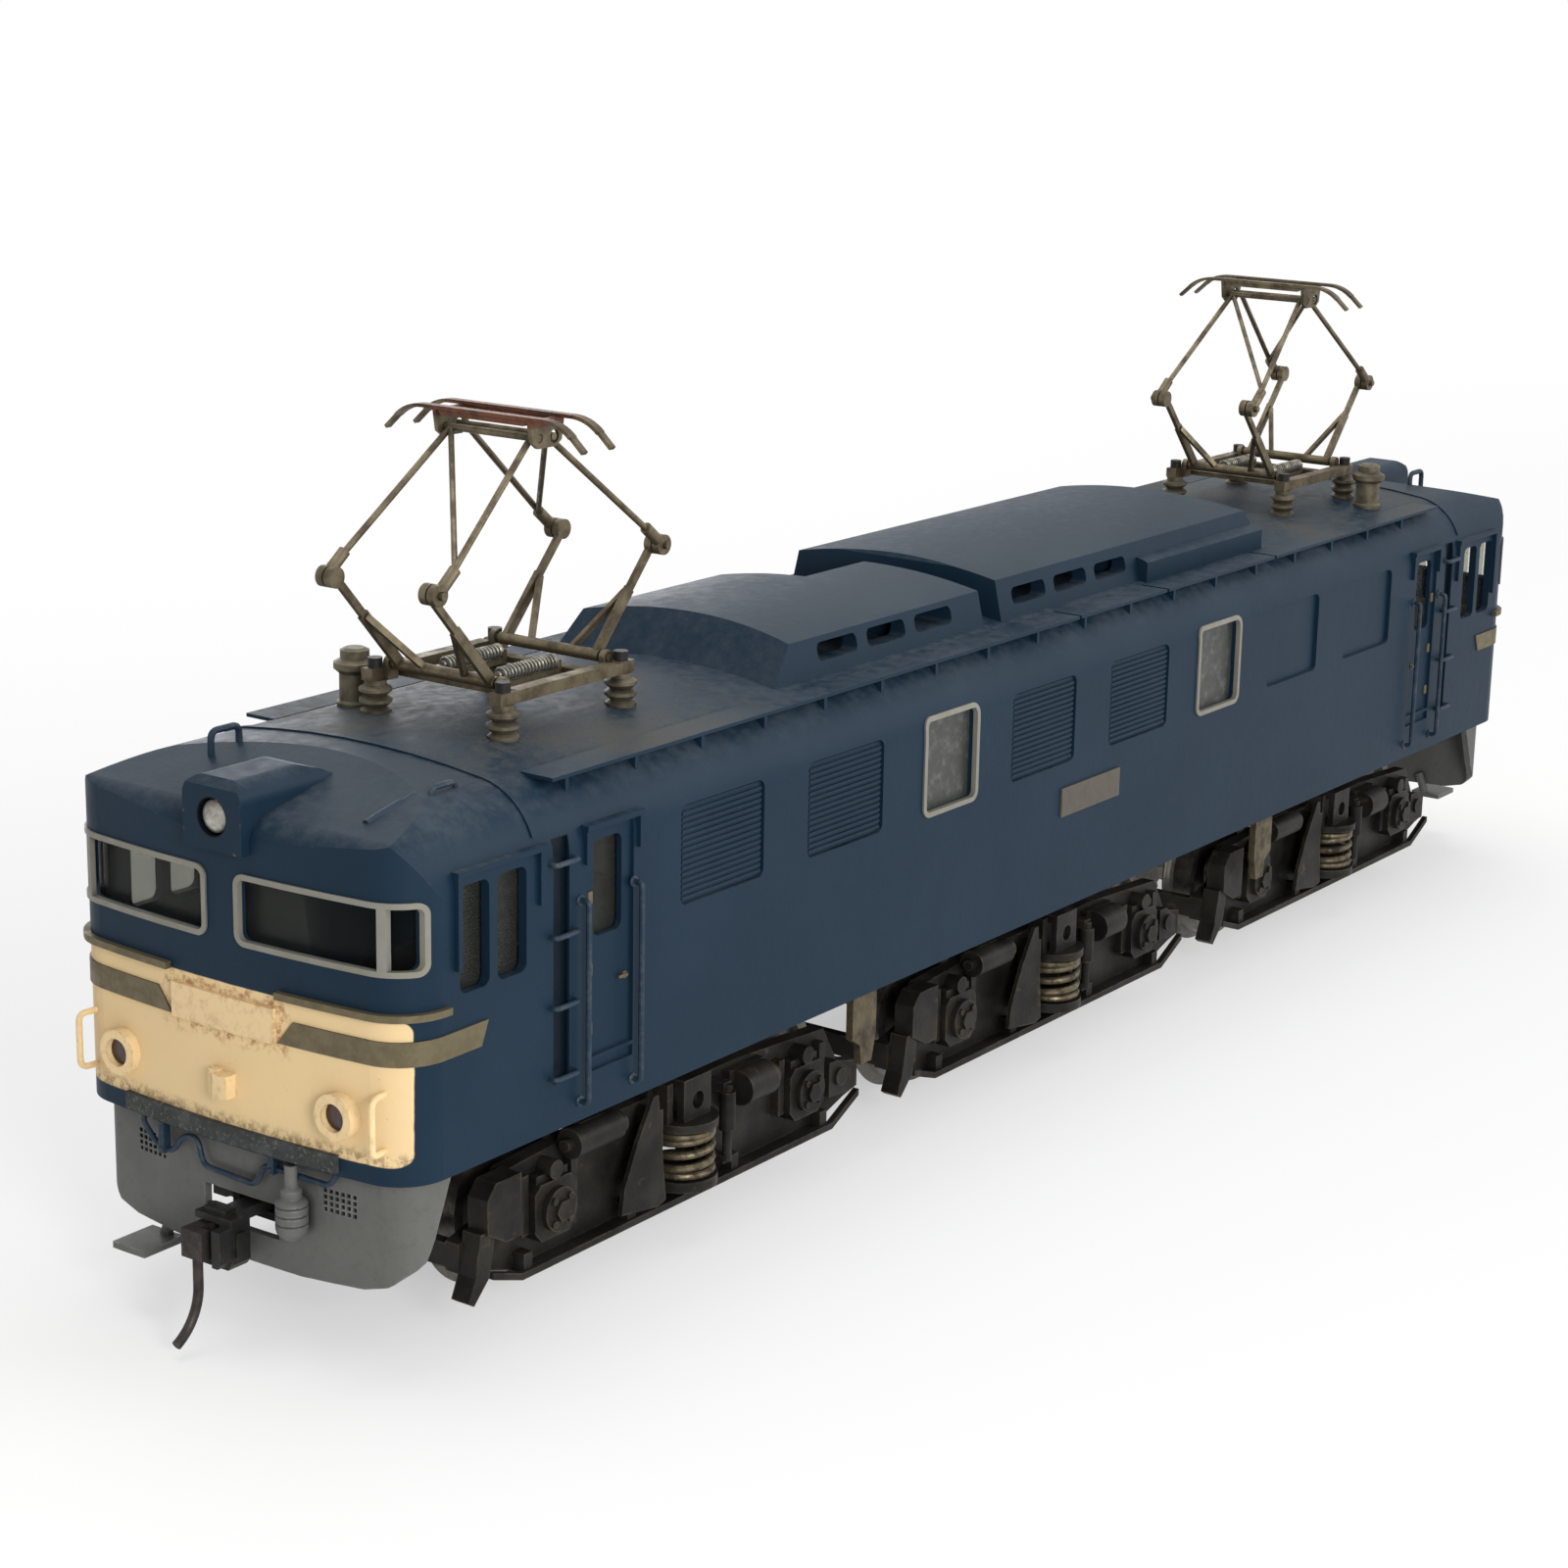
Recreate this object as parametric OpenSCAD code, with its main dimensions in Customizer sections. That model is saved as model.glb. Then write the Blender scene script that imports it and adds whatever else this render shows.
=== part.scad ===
// Model electric locomotive, six axles in three bogies, with two diamond pantographs.
// Millimetres. X runs along the track, the front cab is at -X, Z is up, and Z = 0 is the
// table that the wheel flanges stand on.

/* [Body] */
// Length over the cab fronts
body_l = 193; // [170:1:220]
// Width over the sides
body_w = 35; // [33:0.5:38]
// Height of the lower edge of the sides
sill_z = 16; // [15.8:0.1:17]
// Height of the crown of the roof
roof_z = 44.3; // [43:0.1:46]
// Thickness of the shell
wall = 0.8; // [0.6:0.1:1.2]
// Radius of the roof's crown
crown_r = 90; // [70:5:120]
// Radius where the roof turns down into the sides
shoulder_r = 6; // [4:0.5:7]
// Radius of the bowed cab front, seen from above
front_r = 120; // [90:5:160]
// Radius of the vertical cab corners
corner_r = 4; // [3:0.25:5]
// Radius of the brow above the windscreen
brow_r = 2.2; // [2:0.2:3.4]
// Height of the brow, where the sloping cab roof starts
brow_z = 42; // [41:0.1:42.4]
// Length of the sloping cab roof
cab_roof_l = 12.5; // [10:0.5:14]
// Radius of the cab roof's rounded outer corners
nose_r = 2.6; // [2:0.1:3]

/* [Windows] */
// Lower edge of the windscreen opening
screen_z = 32.4; // [31.5:0.1:33]
// Height of the windscreen opening
screen_h = 5; // [4:0.1:5.4]
// Half of the pillar between the two windscreens
screen_in_y = 1.75; // [1.4:0.05:2.5]
// How far the windscreen wraps round the corner
screen_wrap = 3.3; // [2.8:0.1:4]
// Place of the windscreen's corner post
post_y = 15.1; // [14:0.1:15.6]
// Width of the metal window frames
frame_w = 0.45; // [0.35:0.05:0.8]
// How far the metal frames stand proud
frame_proud = 0.18; // [0.1:0.02:0.3]
// Corner radius of the windows
window_r = 0.7; // [0.5:0.1:1]
// Thickness of the glazing
glass_t = 0.3; // [0.2:0.05:0.5]
// Lower edge of the side windows and louvres
side_z = 30.3; // [29:0.1:31]
// Height of the side windows and louvres
side_h = 8.2; // [7:0.1:8.6]
// Nearest edge of the engine room window from the middle
engine_window_x = 20.4; // [19:0.2:21]
// Width of the engine room window
engine_window_w = 8.2; // [7:0.2:9]
// Cab side windows: distance from the cab front
cab_window_x = [6.7, 10.9];
// Cab side windows: width
cab_window_w = 3.3; // [2.8:0.1:3.6]

/* [Doors and louvres] */
// Distance of the cab door from the cab front
door_x = 21.4; // [21:0.1:22]
// Width of the cab door
door_w = 5.6; // [5:0.1:6]
// Depth of the door recess
recess_d = 0.3; // [0.2:0.05:0.5]
// Width of the door window
door_window_w = 3.5; // [3:0.1:4]
// Distance of the ladder recess from the cab front
ladder_x = 17.3; // [17:0.1:17.6]
// Width of the ladder recess
ladder_w = 1.9; // [1.5:0.1:2]
// Near edges of the side panels from the middle
panel_x = [3.2, 35.1, 52.4];
// Width of the side panels
panel_w = 11.1; // [10:0.1:11.4]
// Distance between louvre blades
blade_pitch = 0.5; // [0.4:0.05:0.8]

/* [Roof] */
// Width of the roof monitors at the top
monitor_top_w = 20.8; // [18:0.2:22]
// Width of the roof monitors at the foot
monitor_foot_w = 24; // [23:0.2:26]
// Height of the front monitor
monitor_z = 47.9; // [47:0.1:49]
// Crown radius of the monitors
monitor_r = 56; // [45:1:80]
// How far the walkways lie below the roof's crown
walk_drop = 1.2; // [0.8:0.1:1.4]
// Outer edge of the walkways
walk_y = 16; // [15.6:0.1:16.4]
// Width of the walkways
walk_w = 3.2; // [2.6:0.1:3.6]
// Thickness of the walkway plates
walk_t = 0.3; // [0.2:0.05:0.5]
// Distance between walkway posts
post_pitch = 8.5; // [6:0.5:10]

/* [Running gear] */
// Distance of the outer bogies from the middle
bogie_x = 58.5; // [57:0.5:60]
// Wheelbase of a bogie
wheelbase = 34; // [33:0.5:35]
// Radius of the wheel treads
tread_r = 7; // [6.8:0.05:7.1]
// Height of the wheel flanges
flange_h = 0.9; // [0.7:0.05:1]
// Distance between the backs of the wheels
back_gap = 14.4; // [14.2:0.1:14.6]
// Width of the wheels with their flanges
wheel_w = 3; // [2.6:0.1:3.2]
// Radius of the axles
axle_r = 1; // [0.8:0.05:1.2]
// Radius of the axle journals
journal_r = 0.7; // [0.6:0.05:0.8]
// Radial clearance of turning fits
fit_gap = 0.05; // [0.03:0.01:0.08]
// Inner face of the bogie side plates
side_in_y = 11.8; // [11.4:0.1:12]
// Thickness of the bogie side plates
side_t = 1.4; // [1.2:0.1:1.6]
// Radius of the bolster springs
bolster_spring_r = 2.9; // [2.4:0.1:3.1]

/* [Drive] */
// Radius of the worms
worm_r = 1.9; // [1.6:0.1:2.2]
// Clearance between a worm and its gear
mesh_gap = 0.1; // [0.06:0.01:0.2]
// Teeth on an axle gear
gear_teeth = 16; // [14:1:20]
// Radius of the axle gears
gear_r = 4.4; // [4:0.1:4.6]
// Height of the gear teeth
tooth_h = 0.6; // [0.4:0.05:0.8]
// Radius of the motor case
motor_r = 5; // [4.8:0.1:5.5]
// Length of the motor case
motor_l = 25; // [20:1:26]
// Radius of the drive shaft
shaft_r = 0.8; // [0.6:0.05:1]

/* [Pantographs] */
// Distance of the pantographs from the middle
panto_x = 65; // [63:0.5:66]
// Half distance between the lower arms' shafts
base_half = 6.4; // [6:0.1:6.8]
// Half distance between the head's two pivots
head_half = 0.9; // [0.8:0.05:1.1]
// Length of the lower arms
lower_l = 11; // [10.5:0.1:11.5]
// Rise of the lower arms as drawn, in degrees
lower_a = 48; // [40:1:54]
// Height of the lower arms' shafts
shaft_z = 48; // [47.8:0.1:48.6]
// Half distance between the arms across the roof
arm_y = 4.9; // [4.6:0.1:5]
// Distance between the contact strips
strip_gap = 3.4; // [3:0.1:3.8]
// Half length of a contact strip over its horns
strip_half = 10.3; // [10:0.1:12]
// Insulators along and across the roof, from the pantograph's middle
insulator_at = [7.3, 6.7];

/* [Ends] */
// Lower edge of the grey end skirts
skirt_z = 6.4; // [6:0.1:7]
// How far the skirts stand back from the cab front
skirt_back = 1.3; // [1:0.1:1.6]
// Height of the coupler's shank
shank_z = 10.3; // [10:0.1:10.6]
// How far the coupler reaches past the cab front
coupler_out = 3.3; // [3:0.1:5]
// Height of the trip pin's tip above the table
trip_z = 0.6; // [0.4:0.1:1]

/* [Hidden] */
$fn = 48;
eps = 0.01;
smooth = 180;                       // segments on the large, shallow arcs
end_x = body_l / 2;
half_w = body_w / 2;
floor_z = sill_z + 1.8;
floor_t = 1.2;
axle_z = tread_r + flange_h;
worm_z = axle_z + gear_r + worm_r + mesh_gap;
axle_x = [for (b = [-1, 0, 1], s = [-1, 1]) b * bogie_x + s * wheelbase / 2];
upper_l = lower_l + base_half - head_half;
upper_ratio = 0.81;                 // the upper arms fall this much for each degree of the lower
upper_a = lower_a * upper_ratio;
elbow = [base_half + lower_l * cos(lower_a), shaft_z + lower_l * sin(lower_a)];
head_z = elbow[1] + upper_l * sin(upper_a);
door_at = end_x - door_x;
// Places inside the body that several pieces share
lamp_z = 41.75;
lamp_r = 1.45;
hump_w = 6;
hump_top = roof_z + 0.35;
hump_x = end_x + 0.7;
boss_at = [end_x - 9, 10];
screw_r = 0.7;
nose_z = brow_z - 3.1;
corner_x = end_x - front_r + sqrt(pow(front_r - corner_r, 2) - pow(half_w - corner_r, 2));
nose_reach = (corner_x + half_w - corner_r) / sqrt(2) + corner_r + 0.2;
seam_x = end_x - 15.5;
tail_y = 11.3;
tail_z = 20.9;
tail_r = 1.05;
frame_lip = 0.15;
frame_in = 0.3;
post_w = 0.65;
ladder_d = wall * 0.65;
walk_z = roof_z - walk_drop;
plate_half = 5.3;
plate_h = 2.75;
plate_z = 26.55;
trim_z = 28.8;
lamp_iron_z = 20;
rail_z = [17.6, 33.8];
rung_z = [20.4, 26.1, 31.7, 37.4];
gutter_z = side_z + side_h + 0.3;
door_sill_z = 19.6;
walk_parts = [[-77.5, -0.6], [-0.2, 16], [16.4, 38.4], [38.8, 77.5]];
bolster_z = floor_z - 1.3;
pivot_r = 1.2;
armature_r = motor_r - 1.6;
cradle_z = worm_z - motor_r - 0.8;
cross_z = cradle_z - 3.4;
swing_r = 4;
swing_y = 1.5;
cup_x = 24;
cup_r = 2.8;
cardan_x = bogie_x - cup_x - 1.9;
plate_x = wheelbase / 2 + 9.8;
spring_y = side_in_y + side_t + 0.9;
wheel_y = back_gap / 2 + 1;
beam_z = roof_z + 2.4;
seat_z = roof_z - 0.4;
spring_z = shaft_z - 0.2;
spring_at = 2.9;
shaft_pin_r = 0.35;
elbow_pin_r = 0.3;
open_gap = 0.25;
knuckle_pin_r = 0.35;
horn_r = 4.2;

module both_sides() { children(); mirror([0, 1, 0]) children(); }
module both_ends() { children(); mirror([1, 0, 0]) children(); }
module corners() { both_ends() both_sides() children(); }
module half_turn() { children(); rotate([0, 0, 180]) children(); }
// Extrudes a YZ outline along X, and an XZ outline along Y
module along_x(x0, x1) { translate([x0, 0, 0]) rotate([90, 0, 90]) linear_extrude(x1 - x0) children(); }
module along_y(y0, y1) { translate([0, y1, 0]) rotate([90, 0, 0]) linear_extrude(y1 - y0) children(); }
module box(from, to) { translate(from) cube(to - from); }
module disc_x(p, r, l) { translate(p) rotate([0, 90, 0]) cylinder(r = r, h = l, center = true); }
module disc_y(p, r, l) { translate(p) rotate([90, 0, 0]) cylinder(r = r, h = l, center = true); }
// A round bar from one point to another
module bar(a, b, r) {
  d = b - a;
  translate(a) rotate([0, acos(d[2] / norm(d)), atan2(d[1], d[0])]) cylinder(r = r, h = norm(d), $fn = 24);
}
// A chain of round bars with a ball at each bend; the bars stop short inside the balls
module wire(points, r) {
  n = len(points) - 1;
  for (i = [1 : n]) {
    u = (points[i] - points[i - 1]) / norm(points[i] - points[i - 1]) * r * 0.5;
    bar(i == 1 ? points[0] : points[i - 1] + u, i == n ? points[n] : points[i] - u, r);
  }
  for (i = [1 : n - 1]) translate(points[i]) sphere(r * 1.2, $fn = 24);
}
module rounded(from, to, r) {
  for (x = [from[0] + r, to[0] - r], y = [from[1] + r, to[1] - r]) translate([x, y]) circle(r, $fn = 24);
  translate([from[0] + r, from[1]]) square([to[0] - from[0] - 2 * r, to[1] - from[1]]);
  translate([from[0], from[1] + r]) square([to[0] - from[0], to[1] - from[1] - 2 * r]);
}
// An outline with a shallow crown that turns into straight sides, drawn inset by some amount
module crowned(half, apex, big, small, foot, inset) {
  cx = half - small;
  cy = apex - big + sqrt(pow(big - small, 2) - cx * cx);
  tx = cx * (big - inset) / (big - small);
  translate([inset - half, foot]) square([2 * (half - inset), cy - foot]);
  for (s = [-1, 1]) translate([s * cx, cy]) circle(small - inset, $fn = 72);
  intersection() {
    translate([0, apex - big]) circle(big - inset, $fn = 8 * smooth);
    translate([-tx, foot]) square([2 * tx, apex - foot + 1]);
  }
}
module plan(inset) {
  for (s = [-1, 1]) rotate(s * 90) crowned(half_w, end_x, front_r, corner_r, 0, inset);
}
// The side view of the body: upright ends, a rounded brow and a sloping cab roof under a level top
module side_view(foot, inset) {
  slope = atan2(roof_z - brow_z, cab_roof_l - brow_r);
  top = roof_z + 1;
  brow = [end_x - brow_r, brow_z - brow_r];
  r = brow_r - inset;
  turn = brow + r * [sin(slope), cos(slope)];
  level_x = turn[0] - (top - turn[1]) / tan(slope);
  side = [[end_x - inset, foot], [end_x - inset, brow[1]], brow, turn, [level_x, top]];
  for (s = [0, 1]) mirror([s, 0]) {
    polygon(concat([[0, foot]], side, [[0, top]]));
    translate(brow) circle(r);
  }
}
// The waste outside the rounded corner of the cab roof, seen square to the corner's diagonal
module nose_waste(inset) {
  slope = 20;
  far = nose_reach + 5;
  top = roof_z + 1;
  centre = [nose_reach - nose_r, nose_z];
  turn = centre + (nose_r - inset) * [sin(slope), cos(slope)];
  difference() {
    polygon([[centre[0], nose_z], [far, nose_z], [far, top], [turn[0] - (top - turn[1]) / tan(slope), top],
      turn, centre]);
    translate(centre) circle(nose_r - inset);
  }
}
// The body's solid form, with every face moved inwards by inset
module form(inset, foot = sill_z) {
  difference() {
    intersection() {
      along_x(-end_x - 1, end_x + 1) crowned(half_w, roof_z, crown_r, shoulder_r, foot, inset);
      translate([0, 0, foot]) linear_extrude(roof_z - foot + 1) plan(inset);
      along_y(-half_w - 1, half_w + 1) side_view(foot, inset);
    }
    corners() rotate(45) along_y(-half_w, half_w) nose_waste(inset);
  }
}
// A thin skin of the form, between two insets
module skin(outer, inner) { difference() { form(outer); form(inner, sill_z - 1); } }

// Body --------------------------------------------------------------------------------------
// The prism of one windscreen with its corner pane, grown on all edges
module screen_prism(grow) {
  intersection() {
    along_x(end_x - screen_wrap - 3, end_x + 2)
      rounded([screen_in_y - grow, screen_z - grow], [half_w + 5, screen_z + screen_h + grow],
        window_r + grow);
    along_y(0, half_w + 2)
      rounded([end_x - screen_wrap - grow, screen_z - grow], [end_x + 5, screen_z + screen_h + grow],
        window_r + grow);
  }
}
module screens(grow = 0) { corners() screen_prism(grow); }
// A window in the side at y > 0 that starts at x and is w wide
module side_prism(x, w, z, h, grow = 0, depth = 3) {
  along_y(half_w - depth, half_w + 2)
    rounded([x - grow, z - grow], [x + w + grow, z + h + grow], window_r + grow);
}
module cab_windows(grow = 0) {
  corners() for (d = cab_window_x) side_prism(end_x - d - cab_window_w, cab_window_w, side_z - 0.5, side_h,
    grow);
}
module door_windows(grow = 0) {
  corners() side_prism(door_at - door_w / 2 - door_window_w / 2 + 0.1, door_window_w, side_z, side_h - 0.5,
    grow);
}
module engine_windows(grow = 0) {
  corners() side_prism(engine_window_x, engine_window_w, side_z, side_h + 0.3, grow);
}
module panels(depth) {
  corners() for (x = panel_x) side_prism(x, panel_w, side_z, side_h, 0, depth);
}
// The headlight housing, which runs back into the sloping cab roof
module headlight_hump() {
  foot = brow_z - 2.8;
  back = end_x - cab_roof_l;
  intersection() {
    along_x(back, hump_x) rounded([-hump_w / 2, foot - 4], [hump_w / 2, hump_top], 1.6);
    along_y(-hump_w, hump_w)
      polygon([[hump_x, foot], [hump_x, hump_top - 0.6], [hump_x - 0.8, hump_top],
        [end_x - 6.3, hump_top], [end_x - 8, hump_top - 0.5], [back, roof_z - 2.4], [back, roof_z - 3],
        [end_x - 2, foot]]);
  }
}
module body_shell() {
  color("#2e4560") {
    difference() {
      union() {
        skin(0, wall);
        both_ends() difference() {
          headlight_hump();
          form(wall, sill_z - 1);
        }
      }
      screens();
      cab_windows();
      door_windows();
      engine_windows();
      panels(wall / 2);
      corners() box([door_at - door_w, half_w - recess_d, door_sill_z], [door_at, half_w + 1, gutter_z]);
      corners() box([end_x - ladder_x - ladder_w, half_w - ladder_d, door_sill_z + 0.2],
        [end_x - ladder_x, half_w + 1, gutter_z + 0.4]);
      both_ends() disc_x([hump_x - 0.6, 0, lamp_z], lamp_r, 1.6);
      corners() disc_x([end_x, tail_y, tail_z], tail_r + fit_gap, 4);
      both_ends() translate([panto_x, 0, 0]) corners()
        translate([insulator_at[0], insulator_at[1], seat_z]) cylinder(r = 1.25 + fit_gap, h = 3);
      half_turn() translate([-panto_x - 5.5, 10.6, seat_z - 0.55]) cylinder(r = 1.5 + fit_gap, h = 3);
    }
    // the raised seam behind each cab roof, and the screw lugs inside
    both_ends() intersection() {
      skin(-0.15, wall / 2);
      box([seam_x - 0.25, -half_w, roof_z - 4.5], [seam_x + 0.25, half_w, roof_z + 1]);
    }
    corners() difference() {
      box([boss_at[0] - 2.5, boss_at[1] - 2.5, floor_z + floor_t],
        [boss_at[0] + 2.5, half_w - wall / 2, floor_z + floor_t + 2.5]);
      translate([boss_at[0], boss_at[1], floor_z]) cylinder(r = screw_r + fit_gap, h = 5);
    }
  }
}
module headlight_lenses() {
  color("#b9b7ac") both_ends() intersection() {
    translate([hump_x - 1.75, 0, lamp_z]) sphere(1.9);
    disc_x([hump_x - 0.6, 0, lamp_z], lamp_r - 0.2, 1.6);
  }
}
module windscreen_frames() {
  color("#96968c") {
    intersection() {
      skin(-frame_proud, 0);
      difference() { screens(frame_w - frame_lip); screens(-frame_lip); }
    }
    intersection() {
      skin(-frame_proud / 2, frame_in);
      difference() { screens(); screens(-frame_lip); }
    }
    intersection() {
      skin(-frame_proud, frame_in);
      corners() box([end_x - 4, post_y - post_w / 2, screen_z],
        [end_x + 1, post_y + post_w / 2, screen_z + screen_h]);
    }
  }
}
module windscreen_glass() {
  color("#30383c") intersection() {
    skin(wall + eps, wall + eps + glass_t);
    screens(0.8);
  }
}
module side_window_frames() {
  color("#a3a39a") {
    intersection() {
      skin(-frame_proud, 0);
      difference() { engine_windows(frame_w - frame_lip); engine_windows(-frame_lip); }
    }
    intersection() {
      skin(-frame_proud / 2, frame_in);
      difference() { engine_windows(); engine_windows(-frame_lip); }
    }
  }
}
module side_window_glass() {
  color("#30383c") intersection() {
    skin(wall + eps, wall + eps + glass_t);
    union() { engine_windows(0.6); cab_windows(0.3); door_windows(0.3); }
  }
}
// One louvred panel at y > 0: a backing plate with blades, set in its recess
module louvres(x) {
  back = half_w - wall / 2;
  m = 0.15;
  box([x + m, back, side_z + m], [x + panel_w - m, back + 0.12, side_z + side_h - m]);
  for (i = [1 : floor((side_h - 4 * m) / blade_pitch)])
    box([x + 2 * m, back + 0.1, side_z + i * blade_pitch - 0.12],
      [x + panel_w - 2 * m, back + 0.3, side_z + i * blade_pitch + 0.12]);
}
module louvre_panels() {
  color("#2b4059") half_turn() {
    for (x = panel_x) louvres(x);
    mirror([1, 0, 0]) louvres(panel_x[0]);
  }
}
module blank_plates() {
  color("#c9b08a") both_ends() intersection() {
    skin(-0.35, 0);
    box([end_x - 2, -plate_half, plate_z - plate_h / 2], [end_x + 1, plate_half, plate_z + plate_h / 2]);
  }
  color("#8c8c7c") both_sides()
    box([-plate_half, half_w, plate_z - plate_h / 2], [plate_half, half_w + 0.2, plate_z + plate_h / 2]);
}
// The wide stripes and the thin rails that wrap each cab corner
module front_trim() {
  z0 = plate_z - 1.25;
  z1 = plate_z + 0.65;
  color("#7d7355") corners() {
    intersection() {
      skin(-0.16, 0);
      along_x(end_x - 5, end_x + 1) polygon([[plate_half + 0.2, z0], [plate_half + 1.7, z1],
        [half_w + 1, z1], [half_w + 1, z0]]);
    }
    intersection() {
      skin(-0.16, 0);
      along_y(half_w - 3, half_w + 1) polygon([[end_x - 4.5, z0], [end_x - 4.5, z1], [end_x - 9.7, z1],
        [end_x - 8.9, z0]]);
    }
    intersection() {
      skin(-0.55, 0);
      box([end_x - 5.3, plate_half + 0.3, trim_z], [end_x + 1, half_w + 1, trim_z + 0.55]);
    }
  }
}
module front_fittings() {
  color("#dec08c") {
    corners() difference() {
      disc_x([end_x - 0.4, tail_y, tail_z], tail_r + 0.75, 1.7);
      disc_x([end_x, tail_y, tail_z], tail_r + fit_gap, 4);
      form(0);
    }
    both_ends() {
      box([end_x, -1.1, lamp_iron_z], [end_x + 1.1, 0.3, lamp_iron_z + 1.9]);
      box([end_x, 0.2, lamp_iron_z + 0.2], [end_x + 0.7, 1.1, lamp_iron_z + 2.1]);
    }
  }
}
module tail_lamp_lenses() {
  color("#4a1712") corners() disc_x([end_x - 1.15, tail_y, tail_z], tail_r, 2.2);
}
module cab_handrails() {
  x = end_x - 2.1;
  y = half_w - 2.6;
  color("#d9b37e") difference() {
    corners() wire([[x, y, 18.8], [x + 2.6, y + 0.4, 18.8], [x + 2.6, y + 0.4, 23.2], [x, y, 23.2]], 0.26);
    form(0);
  }
}
module body_handrails() {
  y = half_w + 0.85;
  ladder = [end_x - ladder_x - ladder_w - 0.4, end_x - ladder_x + 0.4];
  color("#263d58") {
    corners() {
      for (x = [door_at + 0.9, door_at - door_w])
        wire([[x, half_w, rail_z[0]], [x, y, rail_z[0]], [x, y, rail_z[1]], [x, half_w, rail_z[1]]], 0.24);
      for (z = rung_z)
        wire([[ladder[1], half_w, z], [ladder[1], y - 0.2, z], [ladder[0], y - 0.2, z],
          [ladder[0], half_w, z]], 0.22);
    }
    // the loops on the cab roofs, and the whistle beside them
    half_turn() difference() {
      union() {
        wire([[-end_x + 7.8, 8.6, 41.5], [-end_x + 7.8, 8.6, 45.2], [-end_x + 10.8, 8.6, 45.2],
          [-end_x + 10.8, 8.6, 42]], 0.28);
        wire([[-end_x + 9.6, -12.2, 41.3], [-end_x + 9.6, -12.2, 43.9], [-end_x + 12.4, -12.2, 43.9],
          [-end_x + 12.4, -12.2, 41.5]], 0.24);
        bar([-end_x + 3.7, -11.2, 42.3], [-end_x + 9, -11.2, 43.4], 0.34);
        for (x = [4.3, 7.8]) bar([-end_x + x, -11.2, 40.5], [-end_x + x, -11.2, 42.4], 0.22);
      }
      form(0);
    }
  }
}
// The drip strips over the cab side windows and the cab doors, with their turned-down ends
module rain_gutters() {
  y = half_w - 1;
  top = half_w + 0.45;
  w = [end_x - cab_window_x[1] - cab_window_w - 2, end_x - cab_window_x[0] + 0.6];
  d = [door_at - door_w - 0.9, door_at + 0.5];
  color("#2b4059") {
    difference() {
      corners() {
        box([w[0], y, gutter_z], [w[1], top, gutter_z + 0.45]);
        box([w[1] - 0.45, y, gutter_z - 7], [w[1], top, gutter_z + 0.2]);
        box([w[0], y, gutter_z - 4.2], [w[0] + 0.7, top - 0.1, gutter_z + 0.2]);
        box([d[0], y, gutter_z + 0.3], [d[1], top, gutter_z + 0.75]);
        for (x = [d[0], d[1] - 0.5]) box([x, y, gutter_z - 2.3], [x + 0.5, top - 0.1, gutter_z + 0.5]);
      }
      form(0);
    }
    corners() box([door_at - door_w, half_w - recess_d, door_sill_z + 0.9],
      [door_at, half_w, door_sill_z + 1.2]);
  }
}
// The worn tread strip along the foot of each cab front
module buffer_steps() {
  color("#3d3f3c") both_ends() intersection() {
    skin(-0.45, 0);
    box([end_x - 2, -11, sill_z + 0.3], [end_x + 1, 11, sill_z + 1.7]);
  }
}

// Roof --------------------------------------------------------------------------------------
module monitor_section(top) {
  intersection() {
    polygon([[-monitor_foot_w / 2, roof_z - 3], [monitor_foot_w / 2, roof_z - 3],
      [monitor_foot_w / 2, roof_z - 0.9],
      [monitor_top_w / 2, top + 2], [-monitor_top_w / 2, top + 2], [-monitor_foot_w / 2, roof_z - 0.9]]);
    translate([0, top - monitor_r]) circle(monitor_r, $fn = 8 * smooth);
  }
}
// Three air slots along each flank, from x0
module air_slots(x0, pitch, w) {
  for (i = [0 : 2], s = [-1, 1])
    along_y(s > 0 ? 8 : -14, s > 0 ? 14 : -8)
      rounded([x0 + i * pitch, roof_z + 0.35], [x0 + i * pitch + w, roof_z + 1.95], 0.6);
}
module roof_monitor_front() {
  color("#2e4560") difference() {
    intersection() {
      along_x(-43.6, -11) monitor_section(monitor_z);
      along_y(-14, 14) polygon([[-43.6, roof_z - 3], [-43.6, roof_z - 0.8], [-39.4, monitor_z + 0.2],
        [-11, monitor_z + 0.2], [-11, roof_z - 3]]);
    }
    box([-20.5, 1.5, roof_z - 3], [-10, 14, monitor_z + 1]);
    air_slots(-36.8, 7.5, 5.9);
    form(0);
    intersection() {
      along_x(-40, -12) monitor_section(monitor_z - 1.2);
      box([-39, -10, roof_z - 3], [-22, 10, monitor_z]);
    }
  }
}
module roof_monitor_rear() {
  top = monitor_z + 0.5;
  color("#2e4560") difference() {
    union() {
      intersection() {
        along_x(-8, 43) monitor_section(top);
        along_y(-14, 14) polygon([[-8, roof_z - 3], [-8, top - 0.4], [-7.6, top + 0.1], [39.4, top + 0.1],
          [43, roof_z - 0.6], [43, roof_z - 3]]);
      }
      // the ledges beside the rear half
      intersection() {
        along_x(17.5, 41.4) for (s = [0, 1]) mirror([s, 0])
          polygon([[0, roof_z - 2], [13.4, roof_z - 2], [13.4, roof_z + 0.8],
            [12.3, roof_z + 1.3], [11, roof_z + 1.6], [0, roof_z + 1.6]]);
        box([17.5, walk_w - walk_y, roof_z - 3], [41.4, walk_y - walk_w, top]);
      }
    }
    air_slots(-5.6, 7.5, 5.9);
    form(0);
    intersection() {
      along_x(-7, 17) monitor_section(top - 1.2);
      box([-7, -10, roof_z - 3], [16, 10, top]);
    }
  }
}
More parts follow.
